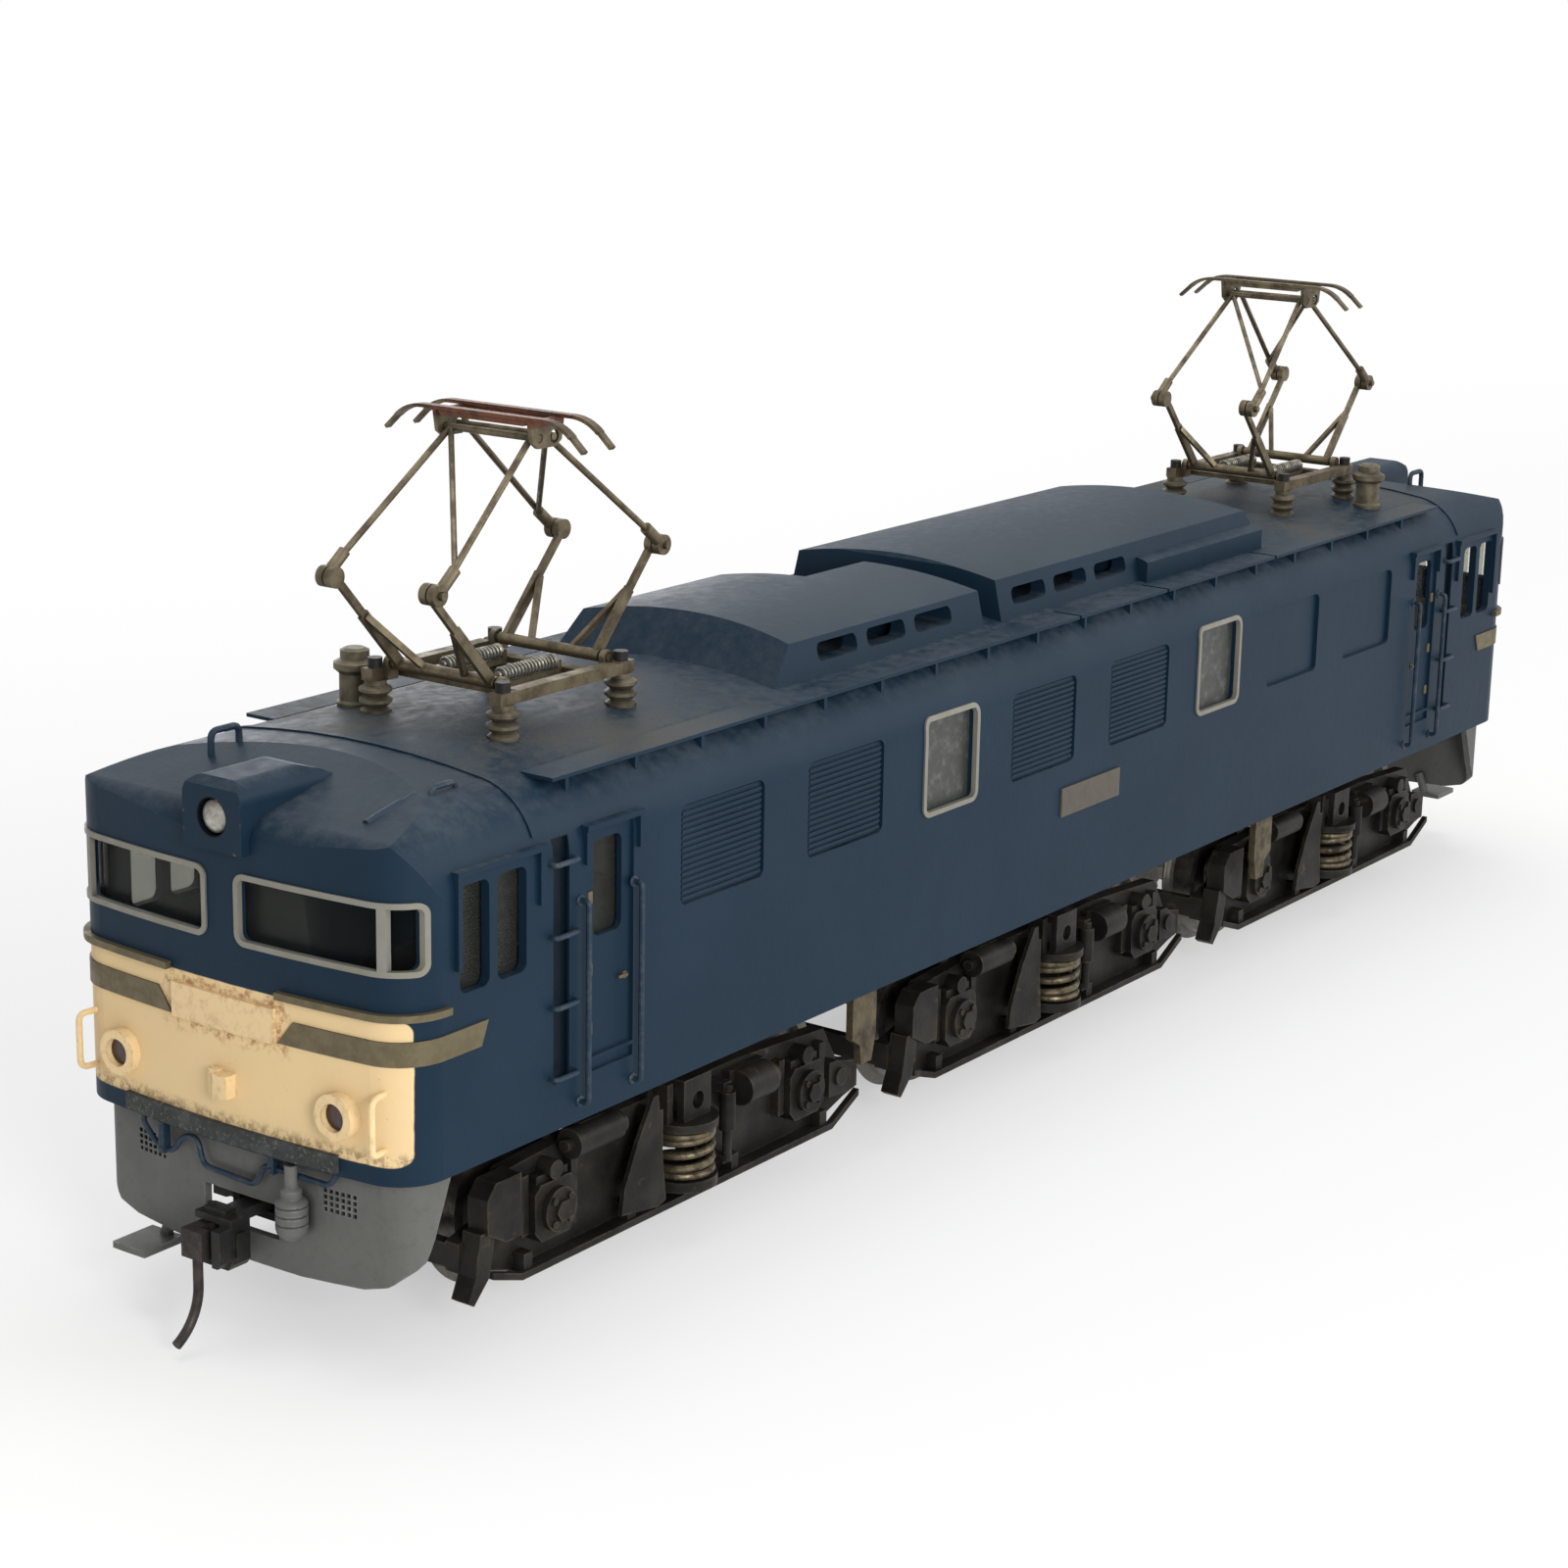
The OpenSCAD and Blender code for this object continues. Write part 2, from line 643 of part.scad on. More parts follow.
module roof_walkways() {
  color("#2b4058") both_sides() difference() {
    union() {
      for (s = walk_parts) box([s[0], walk_y - walk_w, walk_z], [s[1], walk_y, walk_z + walk_t]);
      for (x = [walk_parts[0][0] + 2 : post_pitch : walk_parts[3][1] - 1])
        box([x, walk_y - 1, roof_z - 4], [x + 0.4, walk_y - 0.4, walk_z + eps]);
    }
    form(0);
  }
}

// Ends --------------------------------------------------------------------------------------
module end_skirts() {
  front = end_x - skirt_back;
  top = sill_z - 0.3;
  color("#76777a") both_ends() {
    both_sides() box([end_x - 5, 8, top - 1.4], [end_x - 2.05, 10, floor_z]);
    difference() {
      intersection() {
        translate([0, 0, skirt_z]) linear_extrude(top - skirt_z) difference() {
          plan(skirt_back);
          plan(skirt_back + 0.7);
        }
        along_y(-half_w, half_w) polygon([[front + 1, skirt_z], [front - 1, skirt_z],
          [front - 2.1, skirt_z + 1.4], [front - 3.9, skirt_z + 4.4], [end_x - 7.2, top], [front + 1, top]]);
        along_x(0, end_x) for (s = [0, 1]) mirror([s, 0]) polygon([[0, top], [0, skirt_z], [6, skirt_z],
          [12, skirt_z + 0.4], [14.2, skirt_z + 1], [15.6, skirt_z + 2.2], [half_w, skirt_z + 4.4],
          [half_w, top]]);
      }
      box([front - 2, -3.9, shank_z - 1.5], [front + 1, 3.9, shank_z + 1.3]);
      for (s = [-1, 1], i = [0 : 5], j = [0 : 3])
        box([front - 1.2, s * 9.9 + (i - 3) * 0.55 + 0.09, 12.3 + j * 0.5],
          [front + 1, s * 9.9 + (i - 2) * 0.55 - 0.09, 12.62 + j * 0.5]);
    }
  }
}
// The bent pipes under the cab front, with a hose head beside each coupler
module jumper_rails() {
  x = end_x - 0.7;
  color("#22324a") both_ends() {
    difference() {
      wire([[x - 0.3, 9.8, sill_z], [x, 9.8, 15.4], [x, 8.4, 13.9], [x, 6.6, 13.6], [x, 5.4, 15.2],
        [x, 3.9, 15.4],
        [x, 3.3, 13.3], [x, -2.3, 13.1], [x, -3.1, 14.9], [x, -9.9, 14.9], [x - 0.3, -10.4, sill_z]], 0.24);
      form(0);
    }
    for (y = [-4.2, 7.4]) box([x - 0.3, y - 0.35, y > 0 ? 13.4 : 14.5], [x + 0.5, y + 0.35, 16]);
  }
  color("#6f7073") both_ends() translate([end_x - 0.2, -6.4, 11]) {
    rotate_extrude() polygon([[0, -1], [0.7, -1], [1.15, -0.5], [1.25, 0], [1.25, 2], [0.8, 2.3], [0.8, 3],
      [0.5, 3.2], [0.5, sill_z - 11], [0, sill_z - 11]]);
  }
}
module corner_steps() {
  color("#57534d") half_turn() {
    difference() {
      bar([-end_x + 2.6, 8.6, skirt_z + 1.5], [-end_x + 2.3, 9.4, skirt_z - 0.9], 0.5);
      translate([0, 0, skirt_z]) linear_extrude(4) difference() { plan(skirt_back); plan(skirt_back + 0.7); }
    }
    box([-end_x - 1.4, 7.9, skirt_z - 1.3], [-end_x + 2.8, 11.4, skirt_z - 0.75]);
  }
}
module coupler_boxes() {
  x = end_x - 7;
  color("#2b2a28") both_ends() {
    difference() {
      union() {
        box([x - 5, -3.2, shank_z - 1.4], [x + 3.4, 3.2, shank_z + 1.5]);
        box([x - 4, -2.4, shank_z + 1.4], [x, 2.4, floor_z]);
      }
      box([x - 3, -2.5, shank_z - 0.75], [x + 4, 2.5, shank_z + 0.75]);
    }
    translate([x - 1.5, 0, shank_z - 1.1]) cylinder(r = 0.5, h = 2.3);
  }
}
// A coupler: the shank that swings in its box, and the head with its guard arm
module coupler() {
  x = end_x - 8.5;
  tip = end_x + coupler_out;
  color("#2a2724") {
    difference() {
      union() {
        box([x, -0.9, shank_z - 0.45], [tip - 3.5, 0.9, shank_z + 0.45]);
        translate([x, 0, shank_z - 0.45]) cylinder(r = 1.4, h = 0.9);
      }
      translate([x, 0, shank_z - 1]) cylinder(r = 0.55, h = 2);
    }
    difference() {
      union() {
        along_x(tip - 3.6, tip - 1.6) polygon([[-1.9, shank_z + 0.5], [1.9, shank_z + 0.5],
          [1.9, shank_z - 3.1], [1.5, shank_z - 3.6], [-1.3, shank_z - 3.6], [-1.9, shank_z - 2.9]]);
        box([tip - 3.2, -1.3, shank_z + 0.4], [tip - 2, 0.9, shank_z + 0.9]);
        box([tip - 2.9, 1.8, shank_z - 2.6], [tip - 1.9, 2.2, shank_z - 0.6]);
      }
      knuckle_gap(0.25);
    }
    along_x(tip - 1.7, tip - 0.4) polygon([[1, shank_z - 0.1], [1.9, shank_z - 0.1], [1.9, shank_z - 2.7],
      [1.6, shank_z - 3.1], [1, shank_z - 3.1]]);
  }
  color("#2a2724") translate([tip - 2.6, -1.1, shank_z - 3.9]) cylinder(r = knuckle_pin_r, h = 4.9);
}
module knuckle_gap(gap) {
  tip = end_x + coupler_out;
  box([tip - 3.2 - gap, -3, shank_z - 2.8 - gap], [tip + 1, 0.4 + gap, shank_z - 0.3 + gap]);
}
// The sprung knuckle with the curved trip pin beneath it
module knuckle() {
  tip = end_x + coupler_out;
  pivot = [tip - 2.6, -1.1];
  foot = shank_z - 2.7;
  top = shank_z - 0.4;
  color("#34302b") difference() {
    union() {
      translate([pivot[0], pivot[1], foot]) cylinder(r = 0.8, h = top - foot);
      box([pivot[0], pivot[1] - 0.7, foot], [tip - 0.3, pivot[1] + 0.4, top]);
      box([tip - 0.9, pivot[1] - 0.7, foot], [tip, 0.4, top]);
    }
    translate([pivot[0], pivot[1], foot - 1]) cylinder(r = knuckle_pin_r + fit_gap, h = 6);
  }
  color("#5a463a") {
    bend = 4.6;
    translate([tip - 0.7, -0.8, trip_z + bend]) cylinder(r = 0.4, h = foot + 0.1 - trip_z - bend);
    translate([tip - 0.7 + bend, -0.8, trip_z + bend]) rotate([90, 0, 0]) rotate([0, 0, 180])
      rotate_extrude(angle = 62) translate([bend, 0]) circle(0.4, $fn = 24);
  }
}

// Chassis and drive ---------------------------------------------------------------------------
module chassis_floor() {
  color("#1f1f1f") {
    difference() {
      translate([0, 0, floor_z]) linear_extrude(floor_t) plan(wall + 0.2);
      box([-motor_l / 2 - 0.6, -motor_r - 0.6, floor_z - 1],
        [motor_l / 2 + 0.6, motor_r + 0.6, floor_z + 3]);
      corners() translate([boss_at[0], boss_at[1], floor_z - 1]) cylinder(r = screw_r + 0.25, h = 4);
    }
    both_ends() translate([bogie_x, 0, bolster_z - 0.3])
      cylinder(r = pivot_r, h = floor_z - bolster_z + 0.3 + eps);
    // the motor's cradle, with the pin that guides the middle bogie
    both_ends() difference() {
      box([motor_l / 2 + 0.1, 0.4 - motor_r, cradle_z],
        [motor_l / 2 + 1.1, motor_r - 0.4, floor_z + floor_t]);
      disc_x([motor_l / 2, 0, worm_z], 2.2, 6);
    }
    box([-motor_l / 2 - 0.5, 0.4 - motor_r, cradle_z], [motor_l / 2 + 0.5, motor_r - 0.4, cradle_z + 0.8]);
    translate([0, 0, cradle_z - 3.1]) cylinder(r = pivot_r, h = 3.2);
  }
}
module floor_brackets() {
  color("#6e6248") corners() translate([bogie_x - plate_x + 5.1, 0, 0]) {
    along_y(half_w - wall - 0.05, half_w - 0.15)
      polygon([[-1.8, sill_z], [-1.8, 12], [-1.2, 9.6], [0.4, 9.6], [0.6, 11.4], [1.8, 12.2],
        [1.8, sill_z]]);
    box([-1.8, half_w - 4, sill_z - 0.6], [1.8, half_w - 0.5, sill_z]);
    box([-1.8, half_w - 4, sill_z - 0.6], [1.8, half_w - 3.4, floor_z]);
  }
}
module body_screws() {
  color("#8a8678") corners() translate([boss_at[0], boss_at[1], 0]) {
    translate([0, 0, floor_z - 0.7]) cylinder(r = 1.4, h = 0.7);
    translate([0, 0, floor_z - eps]) cylinder(r = screw_r, h = floor_t + 2.2);
  }
}
module motor_case() {
  color("#55575a") difference() {
    intersection() {
      disc_x([0, 0, worm_z], motor_r, motor_l);
      box([-motor_l, -motor_r, worm_z - motor_r + 0.1], [motor_l, motor_r, worm_z + motor_r]);
    }
    disc_x([0, 0, worm_z], shaft_r + 0.1, motor_l + 2);
    disc_x([0, 0, worm_z], armature_r + 0.3, motor_l - 3);
  }
}
module ballast_weights() {
  color("#6b6b6b") both_ends() difference() {
    box([26, -12, floor_z + floor_t], [52, 12, floor_z + floor_t + 8]);
    for (x = [32, 46]) translate([x, 0, floor_z]) cylinder(r = 1.1, h = 12);
  }
}
// The armature on its shaft, with the two straight cardan shafts and their driving balls
module drive_shaft() {
  color("#8d8a80") {
    disc_x([0, 0, worm_z], shaft_r, 2 * cardan_x);
    disc_x([0, 0, worm_z], armature_r, motor_l - 7);
    both_ends() {
      disc_x([motor_l / 2 + 3.2, 0, worm_z], 1.7, 3);
      translate([cardan_x, 0, worm_z]) sphere(1.15);
      disc_y([cardan_x, 0, worm_z], 0.35, 2.7);
    }
  }
}
// A worm: rings of thread round the shaft
module worm(x) {
  translate([x, 0, worm_z]) rotate([0, 90, 0]) rotate_extrude()
    polygon(concat([[0, -3.6]], [for (i = [0 : 8],
      p = [[worm_r - 0.6, -3.6 + i * 0.8], [worm_r, -3.35 + i * 0.8],
      [worm_r, -3.15 + i * 0.8]]) p], [[worm_r - 0.6, 3.6], [0, 3.6]]));
}
// The front bogie's worm shaft, with a worm over each axle and the driving cup at its inner end
module worm_shaft() {
  color("#b08d4a") {
    disc_x([-bogie_x + 0.45, 0, worm_z], shaft_r, 47.5);
    for (s = [-1, 1]) worm(-bogie_x + s * wheelbase / 2);
    difference() {
      disc_x([-bogie_x + cup_x + 1.9, 0, worm_z], cup_r + 0.35, 4.2);
      disc_x([-bogie_x + cup_x + 2.6, 0, worm_z], cup_r, 4.2);
    }
  }
}

// Bogies --------------------------------------------------------------------------------------
module side_plate() {
  for (s = [0, 1]) mirror([s, 0])
    polygon([[0, 12.8], [9, 12.8], [plate_x - 5.4, 12], [plate_x - 3.2, 8.4], [plate_x, 7.6],
      [plate_x, 5.2], [plate_x - 2, 4.8], [plate_x - 5.8, 3.6], [0, 3.6]]);
}
// An axlebox with its bolted cover, at x on the -Y side
module axlebox(x) {
  y = -side_in_y - side_t;
  along_y(y - 1.5, y + 0.1) polygon([[x - 2.5, axle_z - 1.5], [x - 1.7, axle_z - 2.4],
    [x + 1.7, axle_z - 2.4], [x + 2.5, axle_z - 1.5], [x + 2.5, axle_z + 1.7], [x + 1.8, axle_z + 2.4],
    [x - 1.8, axle_z + 2.4], [x - 2.5, axle_z + 1.7]]);
  for (s = [-1, 1]) box([x + s * 3 - 0.4, y - 0.9, axle_z - 1.6], [x + s * 3 + 0.4, y + 0.1, axle_z + 3.4]);
  disc_y([x, y - 1.7, axle_z], 1.85, 0.8);
  translate([x, y - 2.1, axle_z]) rotate([90, 0, 0]) cylinder(r = 0.95, h = 0.8, center = true, $fn = 6);
  for (a = [45 : 90 : 315]) disc_y([x + 1.35 * cos(a), y - 2.1, axle_z + 1.35 * sin(a)], 0.3, 0.5);
  disc_y([x, y - 0.8, axle_z + 3.2], 0.8, 1.6);
  box([x - 1.9, y - 1.1, axle_z + 2.3], [x + 1.9, y + 0.1, axle_z + 3]);
}
// The cast details on one side: sandbox, brake cylinder, guard, hanger, damper and drum
module side_details() {
  y = -side_in_y - side_t;
  for (s = [-1, 1]) axlebox(s * wheelbase / 2);
  translate([-plate_x, 0, 0]) {
    along_y(y - 1.9, y + 0.1) polygon([[1.2, 8.4], [1.2, 11.2], [2.2, 12.4], [5.2, 12.4], [5.2, 7.2],
      [3.4, 7.2]]);
    along_y(y - 1.7, y + 0.1) polygon([[0, 5.2], [-0.8, 3.4], [-0.2, 3], [1.6, 4.8], [2.4, 8.6],
      [0.6, 8.6]]);
  }
  disc_x([-12.3, y - 1.3, 12.6], 1.25, 5.6);
  disc_x([-9.3, y - 1.3, 12.6], 0.9, 1.2);
  disc_x([-15.2, y - 1.3, 12.6], 0.5, 1.2);
  box([-13.6, y - 1.2, 11.4], [-10.6, y + 0.1, 13.9]);
  along_y(y - 2.3, y - 1.9) polygon([[-9.7, 5], [-9.3, 7.2], [-7.7, 10.6], [-5.6, 14], [-5, 14], [-3.9, 4.6],
    [-5, 4.3]]);
  along_x(-4.8, -4.4) polygon([[y - 2.3, 5.2], [y - 2.3, 12.6], [y + 0.1, 12.6], [y + 0.1, 5.2]]);
  difference() {
    box([-1.7, y - 2.4, 9.9], [1.9, y - 1.7, 14.2]);
    disc_y([0.2, y - 2, 12.1], 0.75, 3);
  }
  box([-1.7, y - 1.8, 13.4], [1.9, y + 0.1, 14.2]);
  box([-2.9, y - 1.6, 10], [-2.2, y + 0.1, 14]);
  translate([0, spring_y, 9.9]) cylinder(r = bolster_spring_r + 0.15, h = 0.7);
  translate([0, spring_y, 4.7]) cylinder(r = bolster_spring_r + 0.1, h = 0.9);
  translate([4.9, y - 1.9, 5.2]) cylinder(r = 0.4, h = 6.8);
  translate([4.9, y - 1.9, 8]) cylinder(r = 0.7, h = 3.4);
  box([4.4, y - 1.9, 11.3], [5.4, y + 0.1, 12.2]);
  box([4.4, y - 1.9, 5], [5.4, y + 0.1, 5.7]);
  disc_x([9, y - 1.4, 10.9], 1.55, 3.8);
  disc_x([11.2, y - 1.4, 10.9], 1.1, 1);
  box([6.6, y - 0.9, 9], [11.4, y + 0.1, 12.4]);
  translate([plate_x, 0, 0]) {
    along_y(y - 1.2, y + 0.1) polygon([[-6, 6], [-6, 9.2], [-4.8, 9.2], [-2.8, 7.8], [-2.8, 5.8]]);
    disc_y([-4.5, y - 1.2, 7.6], 0.8, 0.6);
  }
  bend = plate_x - 5.8;
  along_y(y - 1.5, y - 0.9)
    polygon([[-bend - 3.5, 4.3], [-bend, 3.1], [bend, 3.1], [bend + 4, 5.1], [bend + 4, 5.7], [bend, 3.7],
      [-bend, 3.7], [-bend - 3.5, 4.9]]);
  box([-bend, y - 1, 3.15], [bend, y + 0.1, 3.65]);
  for (x = [1 - bend, -7, 7, bend - 1]) box([x - 0.5, y - 1.2, 3.5], [x + 0.5, y + 0.1, 5]);
}
// A bogie frame at the middle: side plates, end bars, details and bearings
module bogie(outer) {
  color("#2a2721") difference() {
    union() {
      half_turn() {
        along_y(-side_in_y - side_t, -side_in_y) side_plate();
        side_details();
      }
      both_ends() box([plate_x - 1, -side_in_y - 0.2, 5.4], [plate_x, side_in_y + 0.2, 7.4]);
      // brake shoes hung beside the wheel treads
      corners() {
        box([wheelbase / 2 - tread_r - 1.7, wheel_y - 0.2, 6.6],
          [wheelbase / 2 - tread_r - 0.8, wheel_y + 1.6, 9.4]);
        box([wheelbase / 2 - tread_r - 1.6, wheel_y + 1, 8.6],
          [wheelbase / 2 - tread_r - 0.9, side_in_y + 0.2, 9.4]);
      }
      if (outer) {
        box([-3.5, -side_in_y - side_t, bolster_z], [3.5, side_in_y + side_t, bolster_z + 1]);
        both_sides() box([-3.5, side_in_y, 12], [3.5, side_in_y + side_t, bolster_z + 0.5]);
        box([-wheelbase / 2 - 5.8, -2.2, bolster_z], [wheelbase / 2 + 5.8, 2.2, bolster_z + 1]);
        for (s = [-1, 1], x = s * [wheelbase / 2 - 9, wheelbase / 2 + 5])
          box([x - 0.6, -1.7, worm_z - 1.6], [x + 0.6, 1.7, bolster_z + 0.5]);
      } else {
        box([-swing_r - 2, -side_in_y - 0.2, cross_z], [swing_r + 2, side_in_y + 0.2, cross_z + 1.2]);
      }
    }
    corners() translate([wheelbase / 2, 0, axle_z]) rotate([-90, 0, 0])
      cylinder(r = journal_r + fit_gap, h = side_in_y + side_t + 1.2);
    both_sides() translate([0, spring_y, 5.6]) cylinder(r = bolster_spring_r + 0.2, h = 4.3);
    if (outer) {
      cylinder(r = pivot_r + fit_gap, h = 30);
      disc_x([0, 0, worm_z], shaft_r + fit_gap, 60);
    } else cylinder(r = swing_r + fit_gap, h = 30);
  }
}
// The bolster springs, as stacked coils
module bolster_springs() {
  wire_r = 0.42;
  color("#8a7a55") both_sides() translate([0, spring_y, 0])
    for (i = [0 : 4]) translate([0, 0, 6.02 + i * 0.86]) rotate_extrude()
      translate([bolster_spring_r - wire_r, 0]) circle(wire_r, $fn = 24);
}
// The plate that lets the middle bogie slide sideways on the chassis pin
module swing_plate() {
  color("#7d7768") difference() {
    union() {
      translate([0, 0, cross_z]) cylinder(r = swing_r, h = 1.4);
      translate([0, 0, cross_z + 1.3]) cylinder(r = swing_r + 1.2, h = 0.9);
    }
    for (y = [-swing_y, swing_y]) translate([0, y, cross_z - 1]) cylinder(r = pivot_r + fit_gap, h = 4);
    box([-pivot_r - fit_gap, -swing_y, cross_z - 1], [pivot_r + fit_gap, swing_y, cross_z + 4]);
  }
}
module wheel_profile() {
  back = back_gap / 2;
  polygon([[axle_r - 0.2, back], [tread_r + flange_h - 0.3, back], [tread_r + flange_h, back + 0.3],
    [tread_r + 0.3, back + 0.8],
    [tread_r, back + 1], [tread_r - 0.1, back + wheel_w], [tread_r - 1.1, back + wheel_w],
      [tread_r - 1.4, back + wheel_w - 0.8],
    [2.3, back + wheel_w - 0.9], [2, back + wheel_w - 0.1], [axle_r - 0.2, back + wheel_w - 0.1]]);
}
module wheelset(number) {
  driven = number < 3 || number > 4;
  translate([axle_x[number - 1], 0, axle_z]) {
    color("#8f8b80") both_sides() rotate([-90, 0, 0]) rotate_extrude($fn = 96) wheel_profile();
    color("#a8a496") {
      disc_y([0, 0, 0], axle_r, back_gap + 2 * wheel_w - 0.2);
      disc_y([0, 0, 0], journal_r, 2 * (side_in_y + side_t + 0.7));
    }
    if (driven) color("#a5803c") {
      disc_y([0, 0, 0], gear_r - tooth_h, 3);
      for (i = [1 : gear_teeth]) rotate([0, i * 360 / gear_teeth, 0])
        box([gear_r - tooth_h - 0.2, -1.5, -0.35], [gear_r, 1.5, 0.35]);
    }
  }
}

// Pantographs ---------------------------------------------------------------------------------
module insulator() {
  color("#8f8468") rotate_extrude() polygon([[0, 0], [1.25, 0], [1.25, 0.35], [0.9, 0.6], [1.35, 1],
    [1.35, 1.25], [0.9, 1.5],
    [1.35, 1.9], [1.35, 2.15], [0.9, 2.4], [0.9, beam_z - seat_z], [0, beam_z - seat_z]]);
}
module arrester() {
  color("#8f8468") rotate_extrude() polygon([[0, 0], [1.5, 0], [1.5, 0.6], [1.3, 0.8], [1.3, 3],
    [1.75, 3.4], [1.75, 3.9],
    [1.2, 4.2], [1.2, 4.9], [0.8, 5.1], [0, 5.1]]);
}
module roof_insulators() {
  both_ends() translate([panto_x, 0, 0]) corners() {
    translate([insulator_at[0], insulator_at[1], seat_z]) insulator();
    color("#15140f") translate([insulator_at[0], insulator_at[1], beam_z + 1]) cylinder(r = 0.6, h = 0.8);
  }
  half_turn() translate([-panto_x - 5.5, 10.6, seat_z - 0.55]) arrester();
}
module pantograph_base() {
  color("#8a7d5c") {
    difference() {
      union() {
        both_sides() {
          box([-insulator_at[0] - 1, insulator_at[1] - 0.6, beam_z],
            [insulator_at[0] + 1, insulator_at[1] + 0.6, beam_z + 1]);
          for (s = [-1, 1]) {
            box([s * base_half - 0.6, insulator_at[1] - 1.1, beam_z],
              [s * base_half + 0.6, insulator_at[1] - 0.55, shaft_z]);
            disc_y([s * base_half, insulator_at[1] - 0.825, shaft_z], 0.6, 0.55);
          }
        }
        for (x = [-4.6, 4.6]) box([x - 0.6, -insulator_at[1], beam_z],
          [x + 0.6, insulator_at[1], beam_z + 0.5]);
        both_sides() box([-4.6, spring_at - 0.4, beam_z], [4.6, spring_at + 0.4, beam_z + 0.45]);
        corners() translate([3.9, spring_at, beam_z]) cylinder(r = 0.3, h = spring_z - beam_z);
      }
      for (s = [-1, 1]) disc_y([s * base_half, 0, shaft_z], shaft_pin_r + fit_gap, 20);
    }
  }
}
module pantograph_bases() { both_ends() translate([panto_x, 0, 0]) pantograph_base(); }
module pantograph_springs() {
  wire_r = 0.14;
  color("#5f5a4c") both_ends() translate([panto_x, 0, spring_z]) both_sides() {
    disc_x([0, spring_at, 0], 0.3, 7.2);
    for (i = [-9 : 9]) translate([i * 0.35, spring_at, 0]) rotate([0, 90, 0])
      rotate_extrude($fn = 32) translate([0.5, 0]) circle(wire_r, $fn = 14);
  }
}
// The lower arms on their shaft, on the -X side of the pantograph
module panto_lower() {
  e = [-elbow[0], elbow[1]];
  s = [-base_half, shaft_z];
  color("#86795a") {
    disc_y([s[0], 0, s[1]], shaft_pin_r, 2 * insulator_at[1] - 0.9);
    disc_y([s[0], 0, s[1]], 0.5, 2 * (arm_y + 0.4));
    both_sides() {
      translate([s[0], 0, s[1]]) rotate([0, lower_a, 0]) {
        box([-lower_l + 0.5, arm_y - 0.35, -0.3], [-6, arm_y + 0.1, 0.3]);
        box([-6.5, arm_y - 0.35, -0.45], [0, arm_y + 0.1, 0.45]);
        translate([-6.2, arm_y - 0.2, 0]) rotate([0, 0, -22]) box([0, -0.35, -0.28], [6.6, 0.05, 0.28]);
      }
      disc_y([e[0], arm_y, e[1]], 0.85, 0.7);
      disc_y([e[0], arm_y + 0.9, e[1]], elbow_pin_r, 1.4);
    }
  }
}
// The upper arms with their brace, on the -X side
module panto_upper() {
  e = [-elbow[0], elbow[1]];
  t = [-head_half, head_z];
  top_y = arm_y - 0.75;
  color("#7c7054") {
    difference() {
      both_sides() {
        disc_y([e[0], arm_y + 0.85, e[1]], 0.85, 0.7);
        bar([e[0], arm_y + 0.85, e[1]], [e[0] + (t[0] - e[0]) * 0.16, arm_y + 0.8,
          e[1] + (t[1] - e[1]) * 0.16], 0.5);
        bar([e[0] + (t[0] - e[0]) * 0.12, arm_y + 0.8, e[1] + (t[1] - e[1]) * 0.12], [t[0], top_y, t[1]],
          0.27);
      }
      disc_y([e[0], 0, e[1]], elbow_pin_r + fit_gap, 20);
    }
    disc_y([t[0], 0, t[1]], 0.3, 2 * (arm_y + 0.1));
    bar([e[0] + (t[0] - e[0]) * 0.16, -arm_y - 0.8, e[1] + (t[1] - e[1]) * 0.16], [t[0], top_y, t[1]], 0.24);
  }
}
// The pan head: two contact strips with horns, on two cheek plates
module panto_head() {
  flat = strip_half - 4;
  color("#7c7054") both_sides() difference() {
    along_y(arm_y - 0.2, arm_y + 0.15)
      polygon([[-2.1, head_z + 1.5], [2.1, head_z + 1.5], [1.8, head_z - 0.3], [1.1, head_z - 0.8],
        [-1.1, head_z - 0.8], [-1.8, head_z - 0.3]]);
    disc_y([-head_half, 0, head_z], 0.3 + fit_gap, 20);
    disc_y([head_half, 0, head_z], 0.3 + open_gap, 20);
  }
  color("#7a4a35") for (s = [-1, 1]) {
    x = s * strip_gap / 2;
    box([x - 0.4, -flat, head_z + 1.45], [x + 0.4, flat, head_z + 1.75]);
    along_x(x - 0.25, x + 0.25) polygon([[-4.9, head_z + 1.5], [4.9, head_z + 1.5], [4.2, head_z + 1],
      [-4.2, head_z + 1]]);
    both_sides() translate([x, flat, head_z + 1.75 - horn_r]) rotate([90, 0, 90]) translate([0, 0, -0.4])
      rotate_extrude(angle = 42, start = 48) translate([horn_r - 0.3, 0]) square([0.3, 0.8]);
    both_sides() translate([x, flat, head_z + 1.75 - horn_r]) rotate([-42, 0, 0])
      box([-0.3, -0.05, horn_r - 0.3], [0.3, 1.6, horn_r]);
  }
}

module on_bogie(i) { translate([(i - 1) * bogie_x, 0, 0]) children(); }
module panto_at(i) { translate([(2 * i - 1) * panto_x, 0, 0]) children(); }
body_shell();
headlight_lenses();
roof_monitor_front();
roof_monitor_rear();
roof_walkways();
windscreen_frames();
windscreen_glass();
side_window_frames();
side_window_glass();
louvre_panels();
blank_plates();
front_trim();
front_fittings();
tail_lamp_lenses();
cab_handrails();
body_handrails();
rain_gutters();
buffer_steps();
end_skirts();
jumper_rails();
corner_steps();
chassis_floor();
floor_brackets();
body_screws();
motor_case();
ballast_weights();
roof_insulators();
pantograph_bases();
pantograph_springs();
coupler_boxes();
drive_shaft();
worm_shaft();  // worm_shaft_front
mirror([1, 0, 0]) worm_shaft();  // worm_shaft_rear
on_bogie(0) bogie(true);  // bogie_frame_front
on_bogie(1) bogie(false);  // bogie_frame_middle
on_bogie(2) bogie(true);  // bogie_frame_rear
